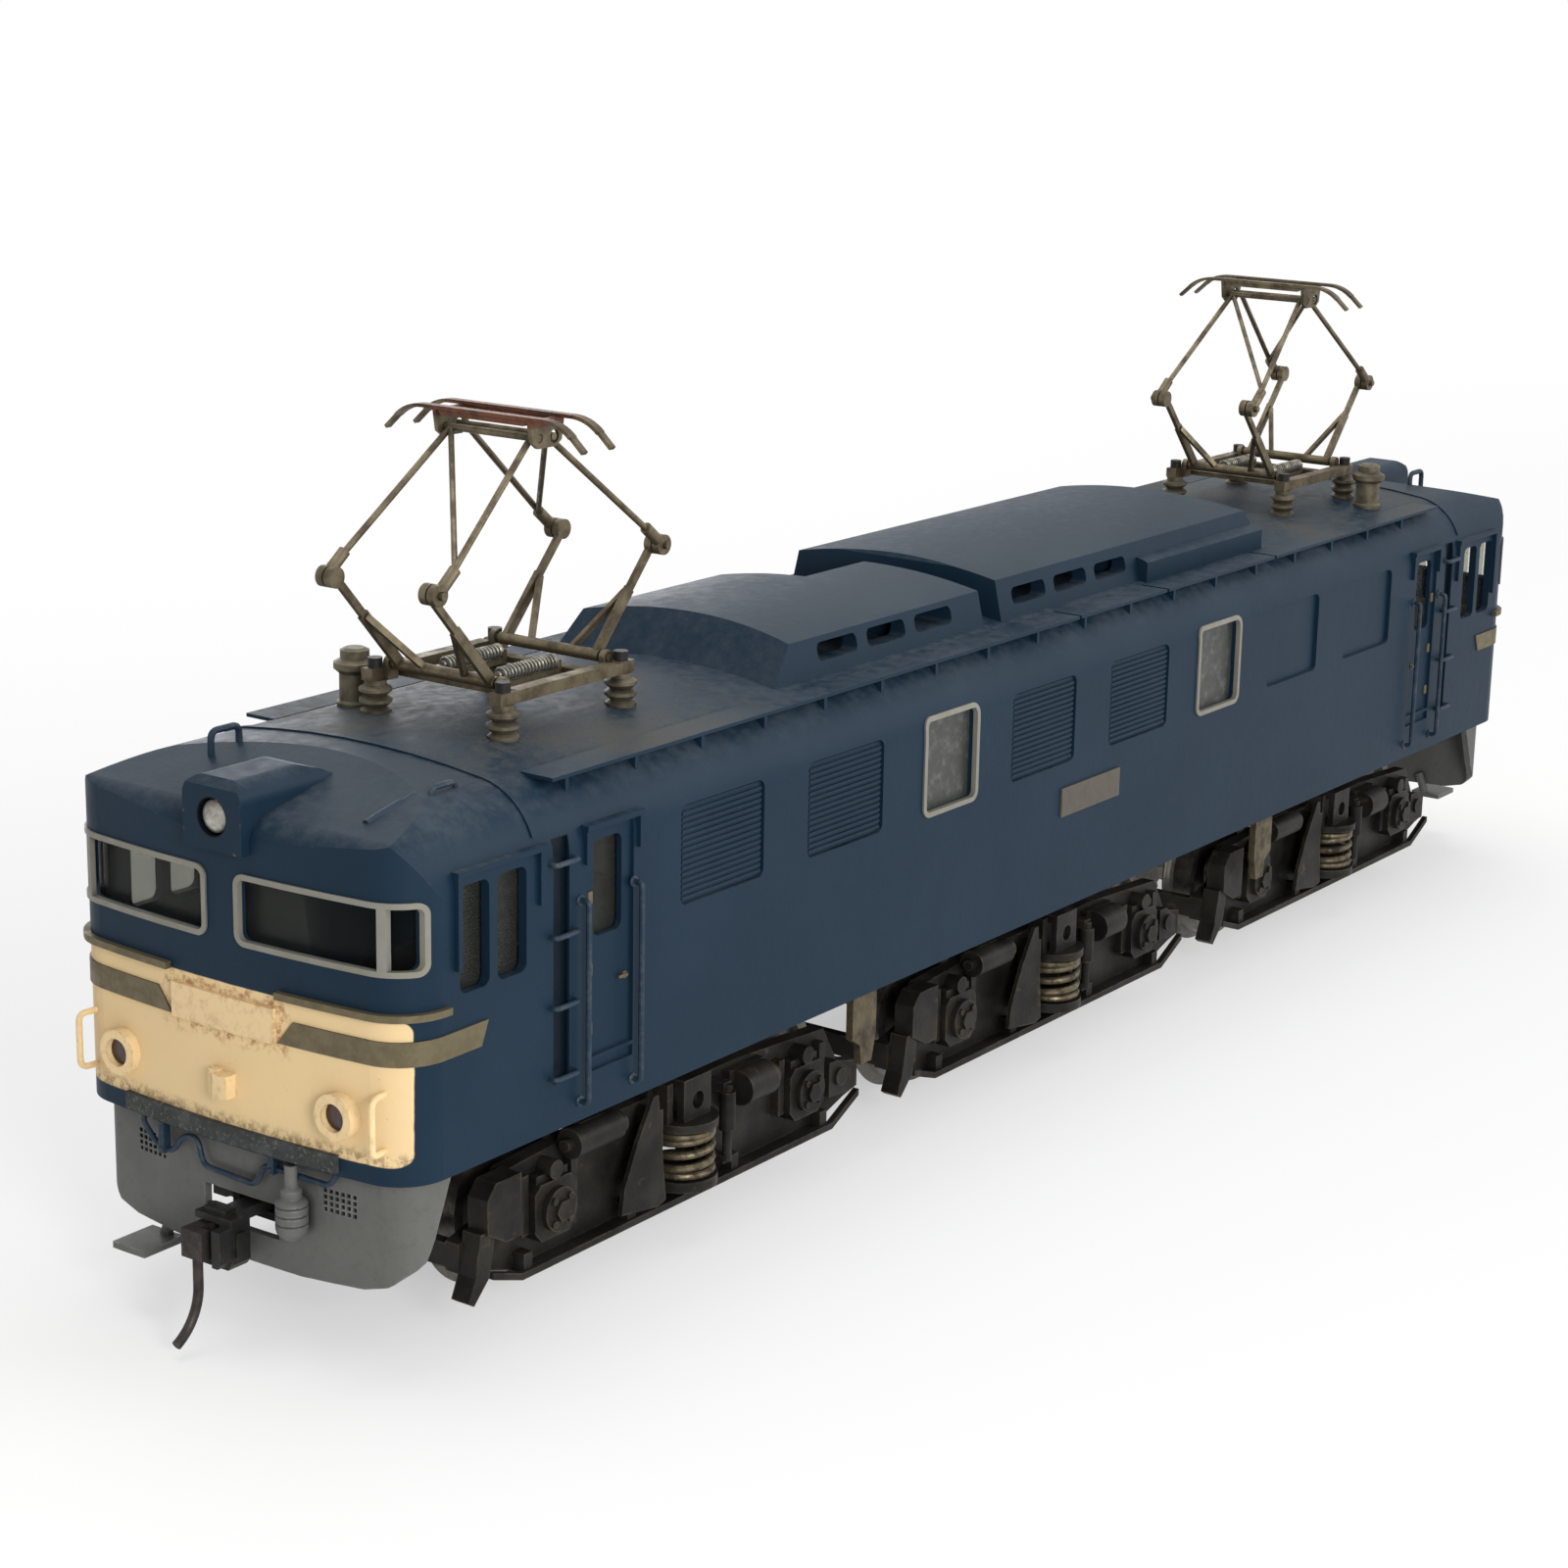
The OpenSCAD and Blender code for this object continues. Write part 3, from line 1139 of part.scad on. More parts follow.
on_bogie(0) bolster_springs();  // bogie_springs_front
on_bogie(1) bolster_springs();  // bogie_springs_middle
on_bogie(2) bolster_springs();  // bogie_springs_rear
swing_plate();
wheelset(1);  // wheelset_1
wheelset(2);  // wheelset_2
wheelset(3);  // wheelset_3
wheelset(4);  // wheelset_4
wheelset(5);  // wheelset_5
wheelset(6);  // wheelset_6
panto_at(0) panto_lower();  // front_panto_arm_a
panto_at(0) rotate([0, 0, 180]) panto_lower();  // front_panto_arm_b
panto_at(0) panto_upper();  // front_panto_upper_a
panto_at(0) rotate([0, 0, 180]) panto_upper();  // front_panto_upper_b
panto_at(0) panto_head();  // front_panto_head
panto_at(1) panto_lower();  // rear_panto_arm_a
panto_at(1) rotate([0, 0, 180]) panto_lower();  // rear_panto_arm_b
panto_at(1) panto_upper();  // rear_panto_upper_a
panto_at(1) rotate([0, 0, 180]) panto_upper();  // rear_panto_upper_b
panto_at(1) panto_head();  // rear_panto_head
rotate([0, 0, 180]) coupler();  // coupler_front
coupler();  // coupler_rear
rotate([0, 0, 180]) knuckle();  // knuckle_front
knuckle();  // knuckle_rear
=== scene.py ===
"""Looks of the model electric locomotive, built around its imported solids."""
import math

import bmesh
import bpy
from bpy.props import FloatProperty, FloatVectorProperty, PointerProperty
from mathutils import Matrix, Vector


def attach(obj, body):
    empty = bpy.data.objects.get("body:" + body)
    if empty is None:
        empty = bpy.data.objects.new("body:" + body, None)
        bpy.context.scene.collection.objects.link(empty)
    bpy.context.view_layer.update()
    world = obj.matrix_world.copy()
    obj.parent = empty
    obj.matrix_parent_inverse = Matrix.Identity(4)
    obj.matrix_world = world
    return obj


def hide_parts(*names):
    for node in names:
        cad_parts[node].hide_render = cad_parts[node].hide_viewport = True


bl_info = {
    "name": "Model Electric Locomotive",
    "version": (1, 0, 0),
    "blender": (4, 2, 0),
    "location": "View3D > Sidebar > Locomotive",
    "description": "Paint, small fittings and studio for a scale model electric locomotive",
    "category": "Object",
}

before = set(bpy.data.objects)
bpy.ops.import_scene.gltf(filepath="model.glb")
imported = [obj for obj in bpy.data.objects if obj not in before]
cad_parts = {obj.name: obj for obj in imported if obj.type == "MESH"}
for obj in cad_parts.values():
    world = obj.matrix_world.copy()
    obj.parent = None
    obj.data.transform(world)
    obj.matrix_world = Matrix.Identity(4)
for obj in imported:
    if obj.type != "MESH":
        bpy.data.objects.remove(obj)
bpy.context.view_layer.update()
MM = 0.001
ENDS = {"front": -1, "rear": 1}
SIDES = (-1, 1)
WHEELSETS = range(1, 7)
CORNER_STEPS = 5
SHARP_EDGE = math.radians(35)

# Places and sizes are in millimetres from here on. A pair is low and high, or foot and outside.
# Bogies and pantographs
BOGIES = {"front": -58.5, "middle": 0.0, "rear": 58.5}
BOLSTER_SPRING = {"y": 14.1, "z": 7.75, "radius": 2.48, "length": 3.46, "turns": 4.6}
PANTOGRAPH_X = 65.0
PANTOGRAPH_SPRING = {"y": 2.9, "z": 47.8, "radius": 0.5, "length": 6.4, "turns": 17}
SPRING_EYE = {"from": 3.1, "to": 3.6, "radius": 0.3}
STRIP_Z = (67.35, 67.5)
STRIP_END_Y = (6.2, 7.4)

# Edges between finishes on the roof and the cab fronts, and edges of the painted shade in the ladder recesses
# and the headlight sockets
DUSTY_ROOF_X = (50, 82)
ROOF_EDGE_Z = (42.5, 43.6)
CAP_Z = (47.6, 47.7)
CAP_Y = (9.0, 9.2)
LAMP_Z = 41.75
SOCKET_RADIUS = (1.5, 1.6)
SOCKET_X = (95.0, 95.2)
LADDER_X = (77.2, 79.3)
LADDER_Y = (17.25, 17.4)
LADDER_Z = (19.7, 39.3)
BAND_X = (93.95, 94.1)
BAND_CORNER_X = 95.2
BAND_MIDDLE_Z = 23.17
BAND_FLAT = 4.5
BAND_CORNER = (1.12, 1.24)
BAND_FOOT_Z = (17.9, 18.9)
PLATE_Y = (-6.4, 6.4)
PLATE_Z = (24.3, 28.9)
PLATE_FACE_Y = (-4.9, 4.9)
PLATE_FACE_Z = (25.3, 27.8)
CHIPS_X = (91.5, 93)
END_PLATE_X = (90, 91)
ENGINE_ROOM_X = (50, 60)

# Doors, handrails and ladder rungs
HINGE = {"x": 74.6, "y": 17.15, "heights": (23.0, 27.8, 33.6), "half": Vector((0.28, 0.22, 0.5))}
HANDLE = {"x": 70.4, "y": 17.15, "z": 26.4}
LEVER = {"middle": Vector((70.75, 17.5, 26.425)), "half": Vector((0.55, 0.09, 0.125))}
RAIL_X = (76.0, 69.5)
RAIL_Y = (17.4, 18.35)
RAIL_Z = (17.6, 33.8)
RUNG_X = (79.6, 76.9)
RUNG_Y = (17.4, 18.15)
RUNG_Z = (20.4, 26.1, 31.7, 37.4)

# Loops and whistle of the front cab roof, and the rails on the cab corners
TALL_LOOP = [(-88.7, 8.6, 41.4), (-88.7, 8.6, 45.2), (-85.7, 8.6, 45.2), (-85.7, 8.6, 42)]
LOW_LOOP = [(-86.9, -12.2, 41.2), (-86.9, -12.2, 43.9), (-84.1, -12.2, 43.9), (-84.1, -12.2, 41.5)]
WHISTLE_FROM = Vector((-92.8, -11.2, 42.3))
WHISTLE_RUN = Vector((5.3, 0, 1.1))
WHISTLE_SHAPE = ((0, 0.3), (0.12, 0.3), (0.2, 0.34), (0.7, 0.34), (0.78, 0.2), (1, 0.24))
WHISTLE_POSTS = {"x": (92.2, 88.7), "z": (40.6, 42.4), "radius": 0.2}
CAB_RAIL_FOOT = (94.4, 14.9)
CAB_RAIL_OUT = (97.0, 15.3)
CAB_RAIL_Z = (18.8, 23.2)

# Bent pipe and hose below the cab fronts; a route point is (y, z)
JUMPER_X = 95.8
JUMPER_END_INSET = 0.3
JUMPER_ROUTE = [
    (9.8, 16), (9.8, 15.4), (8.4, 13.9), (6.6, 13.6), (5.4, 15.2), (3.9, 15.4),
    (3.3, 13.3), (-2.3, 13.1), (-3.1, 14.9), (-9.9, 14.9), (-10.4, 16),
]
CLIP_X = (95.5, 96.3)
CLIPS = ((-4.2, 14.5), (7.4, 13.4))
CLIP_TOP_Z = 15.98
HOSE = {"x": 96.3, "y": -6.4, "z": 11}
HOSE_SHAPE = [
    (0.0, -1.0), (0.62, -1.0), (0.9, -0.75), (1.15, -0.5), (1.25, -0.1), (1.25, 1.9),
    (1.15, 2.1), (0.82, 2.3), (0.8, 2.9), (0.62, 3.1), (0.5, 3.2), (0.5, 4.9),
]
HOSE_RIBS_Z = (11.2, 11.9, 12.6)

# Studio; the floor's half width is in metres
FLOOR_HALF = 3.0
FLOOR_FADE = (90, 330)
CAMERA_AT = Vector((-260.5, -168.2, 106.7))
CAMERA_LOOK = Vector((0.786, 0.562, -0.258))
CAMERA_RIGHT = Vector((0.585, -0.811, 0.019))
SENSOR_WIDTH = 36.0
SEEN_RAYS = ("Camera", "Glossy", "Transmission")

# Specular levels
PLAIN_SHINE = 0.25
DULL_SHINE = 0.11
OILY_SHINE = 0.12


# Shader expressions -----------------------------------------------------------------------
class Value:
    """A socket, whose arithmetic adds Math nodes."""

    def __init__(self, nodes, socket):
        self.nodes = nodes
        self.socket = socket

    def math(self, operation, first, second=0.0):
        return self.nodes.node("ShaderNodeMath", {"operation": operation}, {0: first, 1: second})

    def __add__(self, other):
        return self.math("ADD", self, other)

    def __sub__(self, other):
        return self.math("SUBTRACT", self, other)

    def __rsub__(self, other):
        return self.math("SUBTRACT", other, self)

    def __mul__(self, other):
        return self.math("MULTIPLY", self, other)

    def __pow__(self, other):
        return self.math("POWER", self, other)

    def __abs__(self):
        return self.math("ABSOLUTE", self)

    def sine(self):
        return self.math("SINE", self)

    def most(self, other):
        return self.math("MAXIMUM", self, other)

    def least(self, other):
        return self.math("MINIMUM", self, other)

    __radd__ = __add__
    __rmul__ = __mul__


class Nodes:
    """A node tree under construction."""

    def __init__(self, tree):
        self.tree = tree
        self.tree.nodes.clear()

    def node(self, kind, settings, values, output=0):
        """Adds a node, sets it up, and sets or links its sockets."""
        made = self.tree.nodes.new(kind)
        for key, value in settings.items():
            setattr(made, key, value)
        for key, value in values.items():
            if isinstance(value, Value):
                self.tree.links.new(value.socket, made.inputs[key])
            else:
                self.set_socket(made.inputs[key], value)
        return Value(self, made.outputs[output]) if made.outputs else None

    def set_socket(self, socket, value):
        """Sets a socket; one number fills a vector, and a colour may leave out its alpha."""
        is_list = hasattr(value, "__len__")
        if hasattr(socket.default_value, "__len__") and not is_list:
            value = [value] * len(socket.default_value)
        elif is_list and len(value) == 3 and len(socket.default_value) == 4:
            value = [*value, 1.0]
        socket.default_value = value

    def seen(self):
        """1 for the rays that show the surroundings: from the camera, a reflection or through glass."""
        camera, glossy, transmission = [
            self.node("ShaderNodeLightPath", {}, {}, f"Is {kind} Ray") for kind in SEEN_RAYS
        ]
        return camera.most(glossy).most(transmission)


class Finish(Nodes):
    """A material under construction. Places are in millimetres in the row frame."""

    def __init__(self, name):
        self.material = bpy.data.materials.new(name)
        self.material.use_nodes = True
        super().__init__(self.material.node_tree)
        place = self.node("ShaderNodeTexCoord", {}, {}, "Object")
        self.place = self.node("ShaderNodeVectorMath", {"operation": "SCALE"}, {0: place, "Scale": 1 / MM})
        self.x, self.y, self.z = self.parts(self.place)

    def upward(self):
        """1 where a face looks up, 0 on walls and -1 below."""
        return self.parts(self.node("ShaderNodeTexCoord", {}, {}, "Normal"))[2]

    def parts(self, vector):
        """The three numbers of a vector."""
        split = self.tree.nodes.new("ShaderNodeSeparateXYZ")
        self.tree.links.new(vector.socket, split.inputs[0])
        return [Value(self, o) for o in split.outputs]

    def noise(self, size, detail=3.0, rough=0.55, stretch=(1, 1, 1), shift=0.0):
        """Noise whose features are about size millimetres."""
        place = self.node("ShaderNodeMapping", {}, {
            "Vector": self.place, "Scale": [s / size for s in stretch], "Location": [shift] * 3,
        })
        return self.node("ShaderNodeTexNoise", {}, {
            "Vector": place, "Scale": 1.0, "Detail": detail, "Roughness": rough,
        })

    def step(self, value, low, high):
        """0 below low and 1 above high, smooth between."""
        return self.node("ShaderNodeMapRange", {"interpolation_type": "SMOOTHSTEP"}, {
            0: value, 1: low, 2: high, 3: 0.0, 4: 1.0,
        })

    def within(self, value, low, high, soft=0.08):
        """1 between low and high."""
        return self.step(value, low - soft, low + soft) * (1 - self.step(value, high - soft, high + soft))

    def blend(self, factor, first, second):
        """first where factor is 0, second where it is 1."""
        return self.node("ShaderNodeMix", {"data_type": "RGBA"}, {0: factor, 6: first, 7: second}, 2)

    def edges(self, radius):
        """1 on sharp edges and 0 on flat faces."""
        round_normal = self.node("ShaderNodeBevel", {"samples": 3}, {"Radius": radius * MM})
        flat = self.node("ShaderNodeNewGeometry", {}, {}, "Normal")
        dot = self.node("ShaderNodeVectorMath", {"operation": "DOT_PRODUCT"}, {0: round_normal, 1: flat}, 1)
        return self.step(1 - dot, 0.03, 0.3)

    def hollows(self, distance):
        """0 in hollows and 1 in the open."""
        return self.node("ShaderNodeAmbientOcclusion", {"samples": 4}, {"Distance": distance * MM}, 1)

    def bump(self, height, depth):
        """A Bump node; depth is in millimetres."""
        return self.node("ShaderNodeBump", {}, {"Height": height, "Distance": depth * MM, "Strength": 1.0})

    def close(self, color, rough, metal, bump, **fixed):
        """Ends the material in one Principled shader; fixed values go to its own sockets."""
        values = {
            "Base Color": color, "Roughness": rough, "Metallic": metal, "Normal": bump,
            "Specular IOR Level": PLAIN_SHINE,
        }
        values.update({key.replace("_", " "): value for key, value in fixed.items()})
        return self.end(self.node("ShaderNodeBsdfPrincipled", {}, values))

    def end(self, shader):
        """Ends the material in any shader."""
        self.node("ShaderNodeOutputMaterial", {}, {"Surface": shader})
        return self.material


# Shapes -------------------------------------------------------------------------------------
def unit_frame(direction):
    """Two directions square to a direction."""
    d = Vector(direction).normalized()
    side = Vector((0, 0, 1)) if abs(d.z) < 0.9 else Vector((1, 0, 0))
    u = d.cross(side).normalized()
    return u, d.cross(u).normalized()


def softened(points, radius):
    """A chain of points with its corners rounded off."""
    points = [Vector(p) for p in points]
    out = [points[0]]
    for before, here, after in zip(points, points[1:], points[2:]):
        reach = min(radius, (here - before).length * 0.45, (after - here).length * 0.45)
        start = here + (before - here).normalized() * reach
        stop = here + (after - here).normalized() * reach
        for i in range(CORNER_STEPS + 1):
            t = i / CORNER_STEPS
            out.append(start * (1 - t) ** 2 + here * 2 * t * (1 - t) + stop * t * t)
    out.append(points[-1])
    return out


def coil(centre, axis, radius, length, turns, per_turn):
    """Points of a coil spring, with its end turns lying flat."""
    axis = Vector(axis).normalized()
    u, v = unit_frame(axis)
    count = int(turns * per_turn)
    points = []
    for i in range(count + 1):
        t = i / count
        flat = 0.75 / turns
        rise = min(max((t - flat) / (1 - 2 * flat), 0), 1)
        angle = math.tau * turns * t
        around = radius * (u * math.cos(angle) + v * math.sin(angle))
        points.append(Vector(centre) + axis * (rise - 0.5) * length + around)
    return points


class Piece:
    """Collects faces in millimetres and turns them into one object that rides on a body."""

    def __init__(self):
        self.mesh = bmesh.new()

    def ring(self, middle, radius, u, v, sides):
        """Points round a middle, in the plane of u and v."""
        turns = [math.tau * k / sides for k in range(sides)]
        return [self.mesh.verts.new(middle + radius * (u * math.cos(a) + v * math.sin(a))) for a in turns]

    def tube(self, points, radius, sides=10):
        """A round wire along points; radius is a number or one per point."""
        points = [Vector(p) for p in points]
        radii = radius if hasattr(radius, "__len__") else [radius] * len(points)
        heading = (points[1] - points[0]).normalized()
        u, _ = unit_frame(heading)
        rings = []
        for i, point in enumerate(points):
            ahead = (points[min(i + 1, len(points) - 1)] - points[max(i - 1, 0)]).normalized()
            u = (u - ahead * u.dot(ahead)).normalized()
            v = ahead.cross(u)
            rings.append(self.ring(point, radii[i], u, v, sides))
        for low, high in zip(rings, rings[1:]):
            for k in range(sides):
                self.mesh.faces.new((low[k], low[(k + 1) % sides], high[(k + 1) % sides], high[k]))
        self.mesh.faces.new(list(reversed(rings[0])))
        self.mesh.faces.new(rings[-1])

    def turned(self, foot, axis, profile, sides):
        """A turned shape: profile is (radius, height) pairs along axis from foot."""
        axis = Vector(axis).normalized()
        u, v = unit_frame(axis)
        rings = []
        for radius, height in profile:
            at = Vector(foot) + axis * height
            if radius < 1e-6:
                rings.append([self.mesh.verts.new(at)])
                continue
            rings.append(self.ring(at, radius, u, v, sides))
        for low, high in zip(rings, rings[1:]):
            for k in range(sides):
                after = (k + 1) % sides
                if len(low) == 1:
                    self.mesh.faces.new((low[0], high[after], high[k]))
                elif len(high) == 1:
                    self.mesh.faces.new((low[k], low[after], high[0]))
                else:
                    self.mesh.faces.new((low[k], low[after], high[after], high[k]))
        if len(rings[0]) > 1:
            self.mesh.faces.new(list(reversed(rings[0])))
        if len(rings[-1]) > 1:
            self.mesh.faces.new(rings[-1])

    def block(self, low, high, bevel):
        """A box with softened edges."""
        low, high = Vector(low), Vector(high)
        made = bmesh.ops.create_cube(self.mesh, size=1.0)["verts"]
        size, middle = high - low, (high + low) / 2
        for vertex in made:
            vertex.co = Vector([c * s for c, s in zip(vertex.co, size)]) + middle
        edges = list(dict.fromkeys(e for vertex in made for e in vertex.link_edges))
        bmesh.ops.bevel(
            self.mesh, geom=edges, offset=min(bevel, min(size) * 0.45), segments=2, profile=0.6,
            affect="EDGES", clamp_overlap=True,
        )

    def bolt(self, at, axis, radius):
        """A hexagon head."""
        self.turned(at, axis, [(radius, -0.05), (radius, 0.126), (radius * 0.75, 0.18)], 6)

    def done(self, name, body, slot, material, replaces=()):
        """Makes the object, and lets it ride."""
        bmesh.ops.recalc_face_normals(self.mesh, faces=self.mesh.faces)
        data = bpy.data.meshes.new(name)
        self.mesh.to_mesh(data)
        self.mesh.free()
        data.transform(Matrix.Scale(MM, 4))
        for polygon in data.polygons:
            polygon.use_smooth = True
        data.set_sharp_from_angle(angle=SHARP_EDGE)
        data.materials.append(material)
        made = bpy.data.objects.new(name, data)
        bpy.context.scene.collection.objects.link(made)
        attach(made, body)
        if replaces:
            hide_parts(*replaces)
        return made


def dress(material, *names):
    """Gives solids a material."""
    for name in names:
        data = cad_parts[name].data
        data.materials.clear()
        data.materials.append(material)


def corners():
    """The four (x, y) signs."""
    return [(sx, sy) for sx in SIDES for sy in SIDES]


# Settings -----------------------------------------------------------------------------------
def color_property(name, description, default):
    return FloatVectorProperty(
        name=name, description=description, default=default, size=3, min=0, max=1, subtype="COLOR",
    )


def length_property(name, description, default):
    return FloatProperty(name=name, description=description, default=default * MM, min=0, unit="LENGTH")


class LocoPaint(bpy.types.PropertyGroup):
    """Colours of the locomotive."""

    blue: color_property("Blue", "Body paint", (0.007, 0.0205, 0.038))
    roof_dust: color_property("Roof dust", "Dust lying on the roof", (0.088, 0.104, 0.118))
    cream: color_property("Cream", "Paint of the cab fronts", (0.74, 0.55, 0.30))
    chip: color_property("Chipped brass", "Metal under chipped paint", (0.33, 0.22, 0.10))
    frames: color_property("Window frames", "Metal window frames", (0.225, 0.22, 0.195))
    stripe: color_property("Stripe", "Aged nickel stripes", (0.15, 0.125, 0.075))
    skirt: color_property("Skirt", "Grey end skirts", (0.105, 0.105, 0.098))
    running: color_property("Running gear", "Black of the bogies", (0.008, 0.0075, 0.0065))
    brass: color_property("Aged brass", "Brown brass of the pantographs", (0.17, 0.14, 0.09))
    floor: color_property("Floor", "Studio floor", (0.92, 0.92, 0.92))


class LocoSizes(bpy.types.PropertyGroup):
    """Sizes of the small fittings."""

    rail: length_property("Handrail radius", "Radius of the handrail wire", 0.24)
    rung: length_property("Rung radius", "Radius of the ladder rungs", 0.22)
    coil_wire: length_property("Bogie spring wire", "Radius of the wire of the bogie springs", 0.36)
    panto_wire: length_property(
        "Pantograph spring wire", "Radius of the wire of the pantograph springs", 0.12,
    )


class LocoStage(bpy.types.PropertyGroup):
    """Camera and light."""

    lens: FloatProperty(
        name="Lens", description="Focal length of the camera", default=75.18, min=1, unit="CAMERA",
    )
    key: FloatProperty(name="Key light", description="Strength of the main soft light", default=1.0, min=0)
    sky: FloatProperty(name="Sky", description="Strength of the even light all round", default=0.4, min=0)


def settings():
    scene = bpy.context.scene
    return scene.loco_paint, scene.loco_sizes, scene.loco_stage


# Finishes -----------------------------------------------------------------------------------
def body_paint(paint, name="navy body paint", cream_front=True):
    """Satin blue with a cream band on the cab fronts, dust on top, chips at the edges and painted shade in
    the ladder recesses and round the headlights.
    """
    f = Finish(name)
    broad = f.noise(14, 3)
    fine = f.noise(1.1, 4, 0.65)
    grain = f.noise(0.28, 2, 0.6)
    streak = f.noise(3.0, 3, 0.6, (1, 1, 0.12))
    up = f.upward()
    blue = f.blend(f.step(broad, 0.35, 0.7) * 0.35, list(paint.blue), [c * 1.25 + 0.004 for c in paint.blue])
    blue = f.blend(f.step(streak, 0.5, 0.8) * 0.18, blue, [c * 0.8 for c in paint.blue])
    level = f.step(up, 0.35, 0.95)
    dust = level * f.step(fine * 0.6 + broad * 0.6, 0.42, 0.85)
    under_panto = f.within(abs(f.x), *DUSTY_ROOF_X, 5) * f.step(f.z, *ROOF_EDGE_Z)
    blue = f.blend(dust * 0.58, blue, list(paint.roof_dust))
    tan = under_panto * f.step(grain * 0.35 + fine * 0.35 + broad * 0.4, 0.5, 0.66) * level
    blue = f.blend(tan * 0.6, blue, [0.085, 0.075, 0.052])
    # Painted shade: the headlight recess and the sunk ladder panels are painted near-black, standing in for
    # the shadow inside them.
    above_lamp = f.z - LAMP_Z
    from_lamp = (f.y * f.y + above_lamp * above_lamp) ** 0.5
    socket = (1 - f.step(from_lamp, *SOCKET_RADIUS)) * f.step(abs(f.x), *SOCKET_X)
    recessed = 1 - f.step(abs(f.y), *LADDER_Y)
    ladder = f.within(abs(f.x), *LADDER_X, 0.05) * recessed * f.within(f.z, *LADDER_Z, 0.05)
    blue = f.blend(socket.most(ladder * 0.8), blue, [0.003, 0.005, 0.008])
    specks = f.step(grain, 0.74, 0.8) * (level * 0.6 + 0.12)
    blue = f.blend(specks, blue, [0.2, 0.19, 0.16])
    color, rough = blue, 0.4 + fine * 0.1 + dust * 0.25
    if cream_front:
        wobble = (f.noise(2.2, 3) - 0.5) * 0.22
        front = f.step(abs(f.x) + wobble, *BAND_X)
        beside = (BAND_CORNER_X - abs(f.x) - wobble).most(0.0)
        above = (abs(f.z + wobble * 0.5 - BAND_MIDDLE_Z) - BAND_FLAT).most(0.0)
        band = front * (1 - f.step((beside * beside + above * above) ** 0.5, *BAND_CORNER))
        cream = f.blend(f.step(broad, 0.4, 0.75) * 0.4, list(paint.cream), [c * 0.86 for c in paint.cream])
        grime = f.step(f.noise(0.9, 4, 0.7), 0.55, 0.8)
        plate = f.within(f.y, *PLATE_Y, 0.7) * f.within(f.z, *PLATE_Z, 0.7)
        inner = f.within(f.y, *PLATE_FACE_Y, 0.5) * f.within(f.z, *PLATE_FACE_Z, 0.5)
        rust = plate * f.step(f.noise(0.8, 4, 0.7, shift=7), 0.45, 0.68) * (0.85 - inner * 0.5)
        foot = (1 - f.step(f.z, *BAND_FOOT_Z)) * f.step(f.noise(0.6, 4, 0.7), 0.42, 0.6) * 0.7
        cream = f.blend(grime * 0.12, cream, [0.42, 0.28, 0.13])
        cream = f.blend(rust, cream, [0.30, 0.12, 0.04])
        cream = f.blend(foot, cream, [0.20, 0.13, 0.07])
        cream = f.blend(f.step(grain * 0.5 + fine * 0.5, 0.66, 0.7) * 0.5, cream, [0.33, 0.2, 0.1])
        color = f.blend(band, blue, cream)
        rough = rough + band * 0.06
        flakes = f.step(f.noise(1.4, 4, 0.7, shift=3), 0.62, 0.68)
        chips = f.edges(0.3) * flakes * f.step(abs(f.x), *CHIPS_X)
        color = f.blend(chips, color, list(paint.chip))
    relief = fine * 0.5 + grain * 0.35 + f.noise(5, 2) * 0.8
    return f.close(color, rough, 0.0, f.bump(relief, 0.035), Specular_IOR_Level=DULL_SHINE)


def plain_paint(
    name, color, rough, wear, wear_amount, grime=(0.05, 0.045, 0.04), grime_amount=0.25, hollow_shade=0.0,
):
    """Paint with dirt, a fine texture, metal showing on worn edges and, when a shade amount is given, painted
    shade darkening the hollows.
    """
    f = Finish(name)
    broad = f.noise(4, 3)
    fine = f.noise(0.6, 4, 0.65)
    base = f.blend(f.step(broad, 0.35, 0.7) * 0.4, list(color), [min(c * 1.3 + 0.004, 1) for c in color])
    base = f.blend(f.step(fine, 0.5, 0.75) * grime_amount, base, list(grime))
    # Painted shade: hollows are darkened toward black by ambient occlusion.
    if hollow_shade:
        base = f.blend((1 - f.hollows(0.6)) * hollow_shade, base, [0.01, 0.01, 0.01])
    worn = f.edges(0.22) * f.step(f.noise(1.3, 4, 0.7, shift=2), 0.5 - wear_amount * 0.25, 0.62)
    base = f.blend(worn, base, list(wear))
    return f.close(base, rough + fine * 0.15, worn * 0.8, f.bump(fine * 0.7 + f.noise(0.25, 2) * 0.3, 0.03))


def worn_metal(name, color, dark, rough, patch, metal, dust=0.0):
    """Bare metal with tarnish in patches and painted shade in the hollows."""
    f = Finish(name)
    tarnish = f.step(f.noise(patch, 4, 0.65), 0.35, 0.68)
    fine = f.noise(0.35, 4, 0.6)
    base = f.blend(tarnish, list(color), list(dark))
    # Painted shade: hollows are darkened by ambient occlusion to a quarter of the dark tone.
    base = f.blend((1 - f.hollows(0.8)) * 0.7, base, [c * 0.25 for c in dark])
    if dust:
        up = f.step(f.upward(), 0.3, 0.9)
        base = f.blend(up * f.step(fine, 0.4, 0.7) * dust, base, [0.16, 0.14, 0.10])
    return f.close(base, rough + tarnish * 0.2 + fine * 0.1, metal - tarnish * 0.35, f.bump(fine, 0.025))


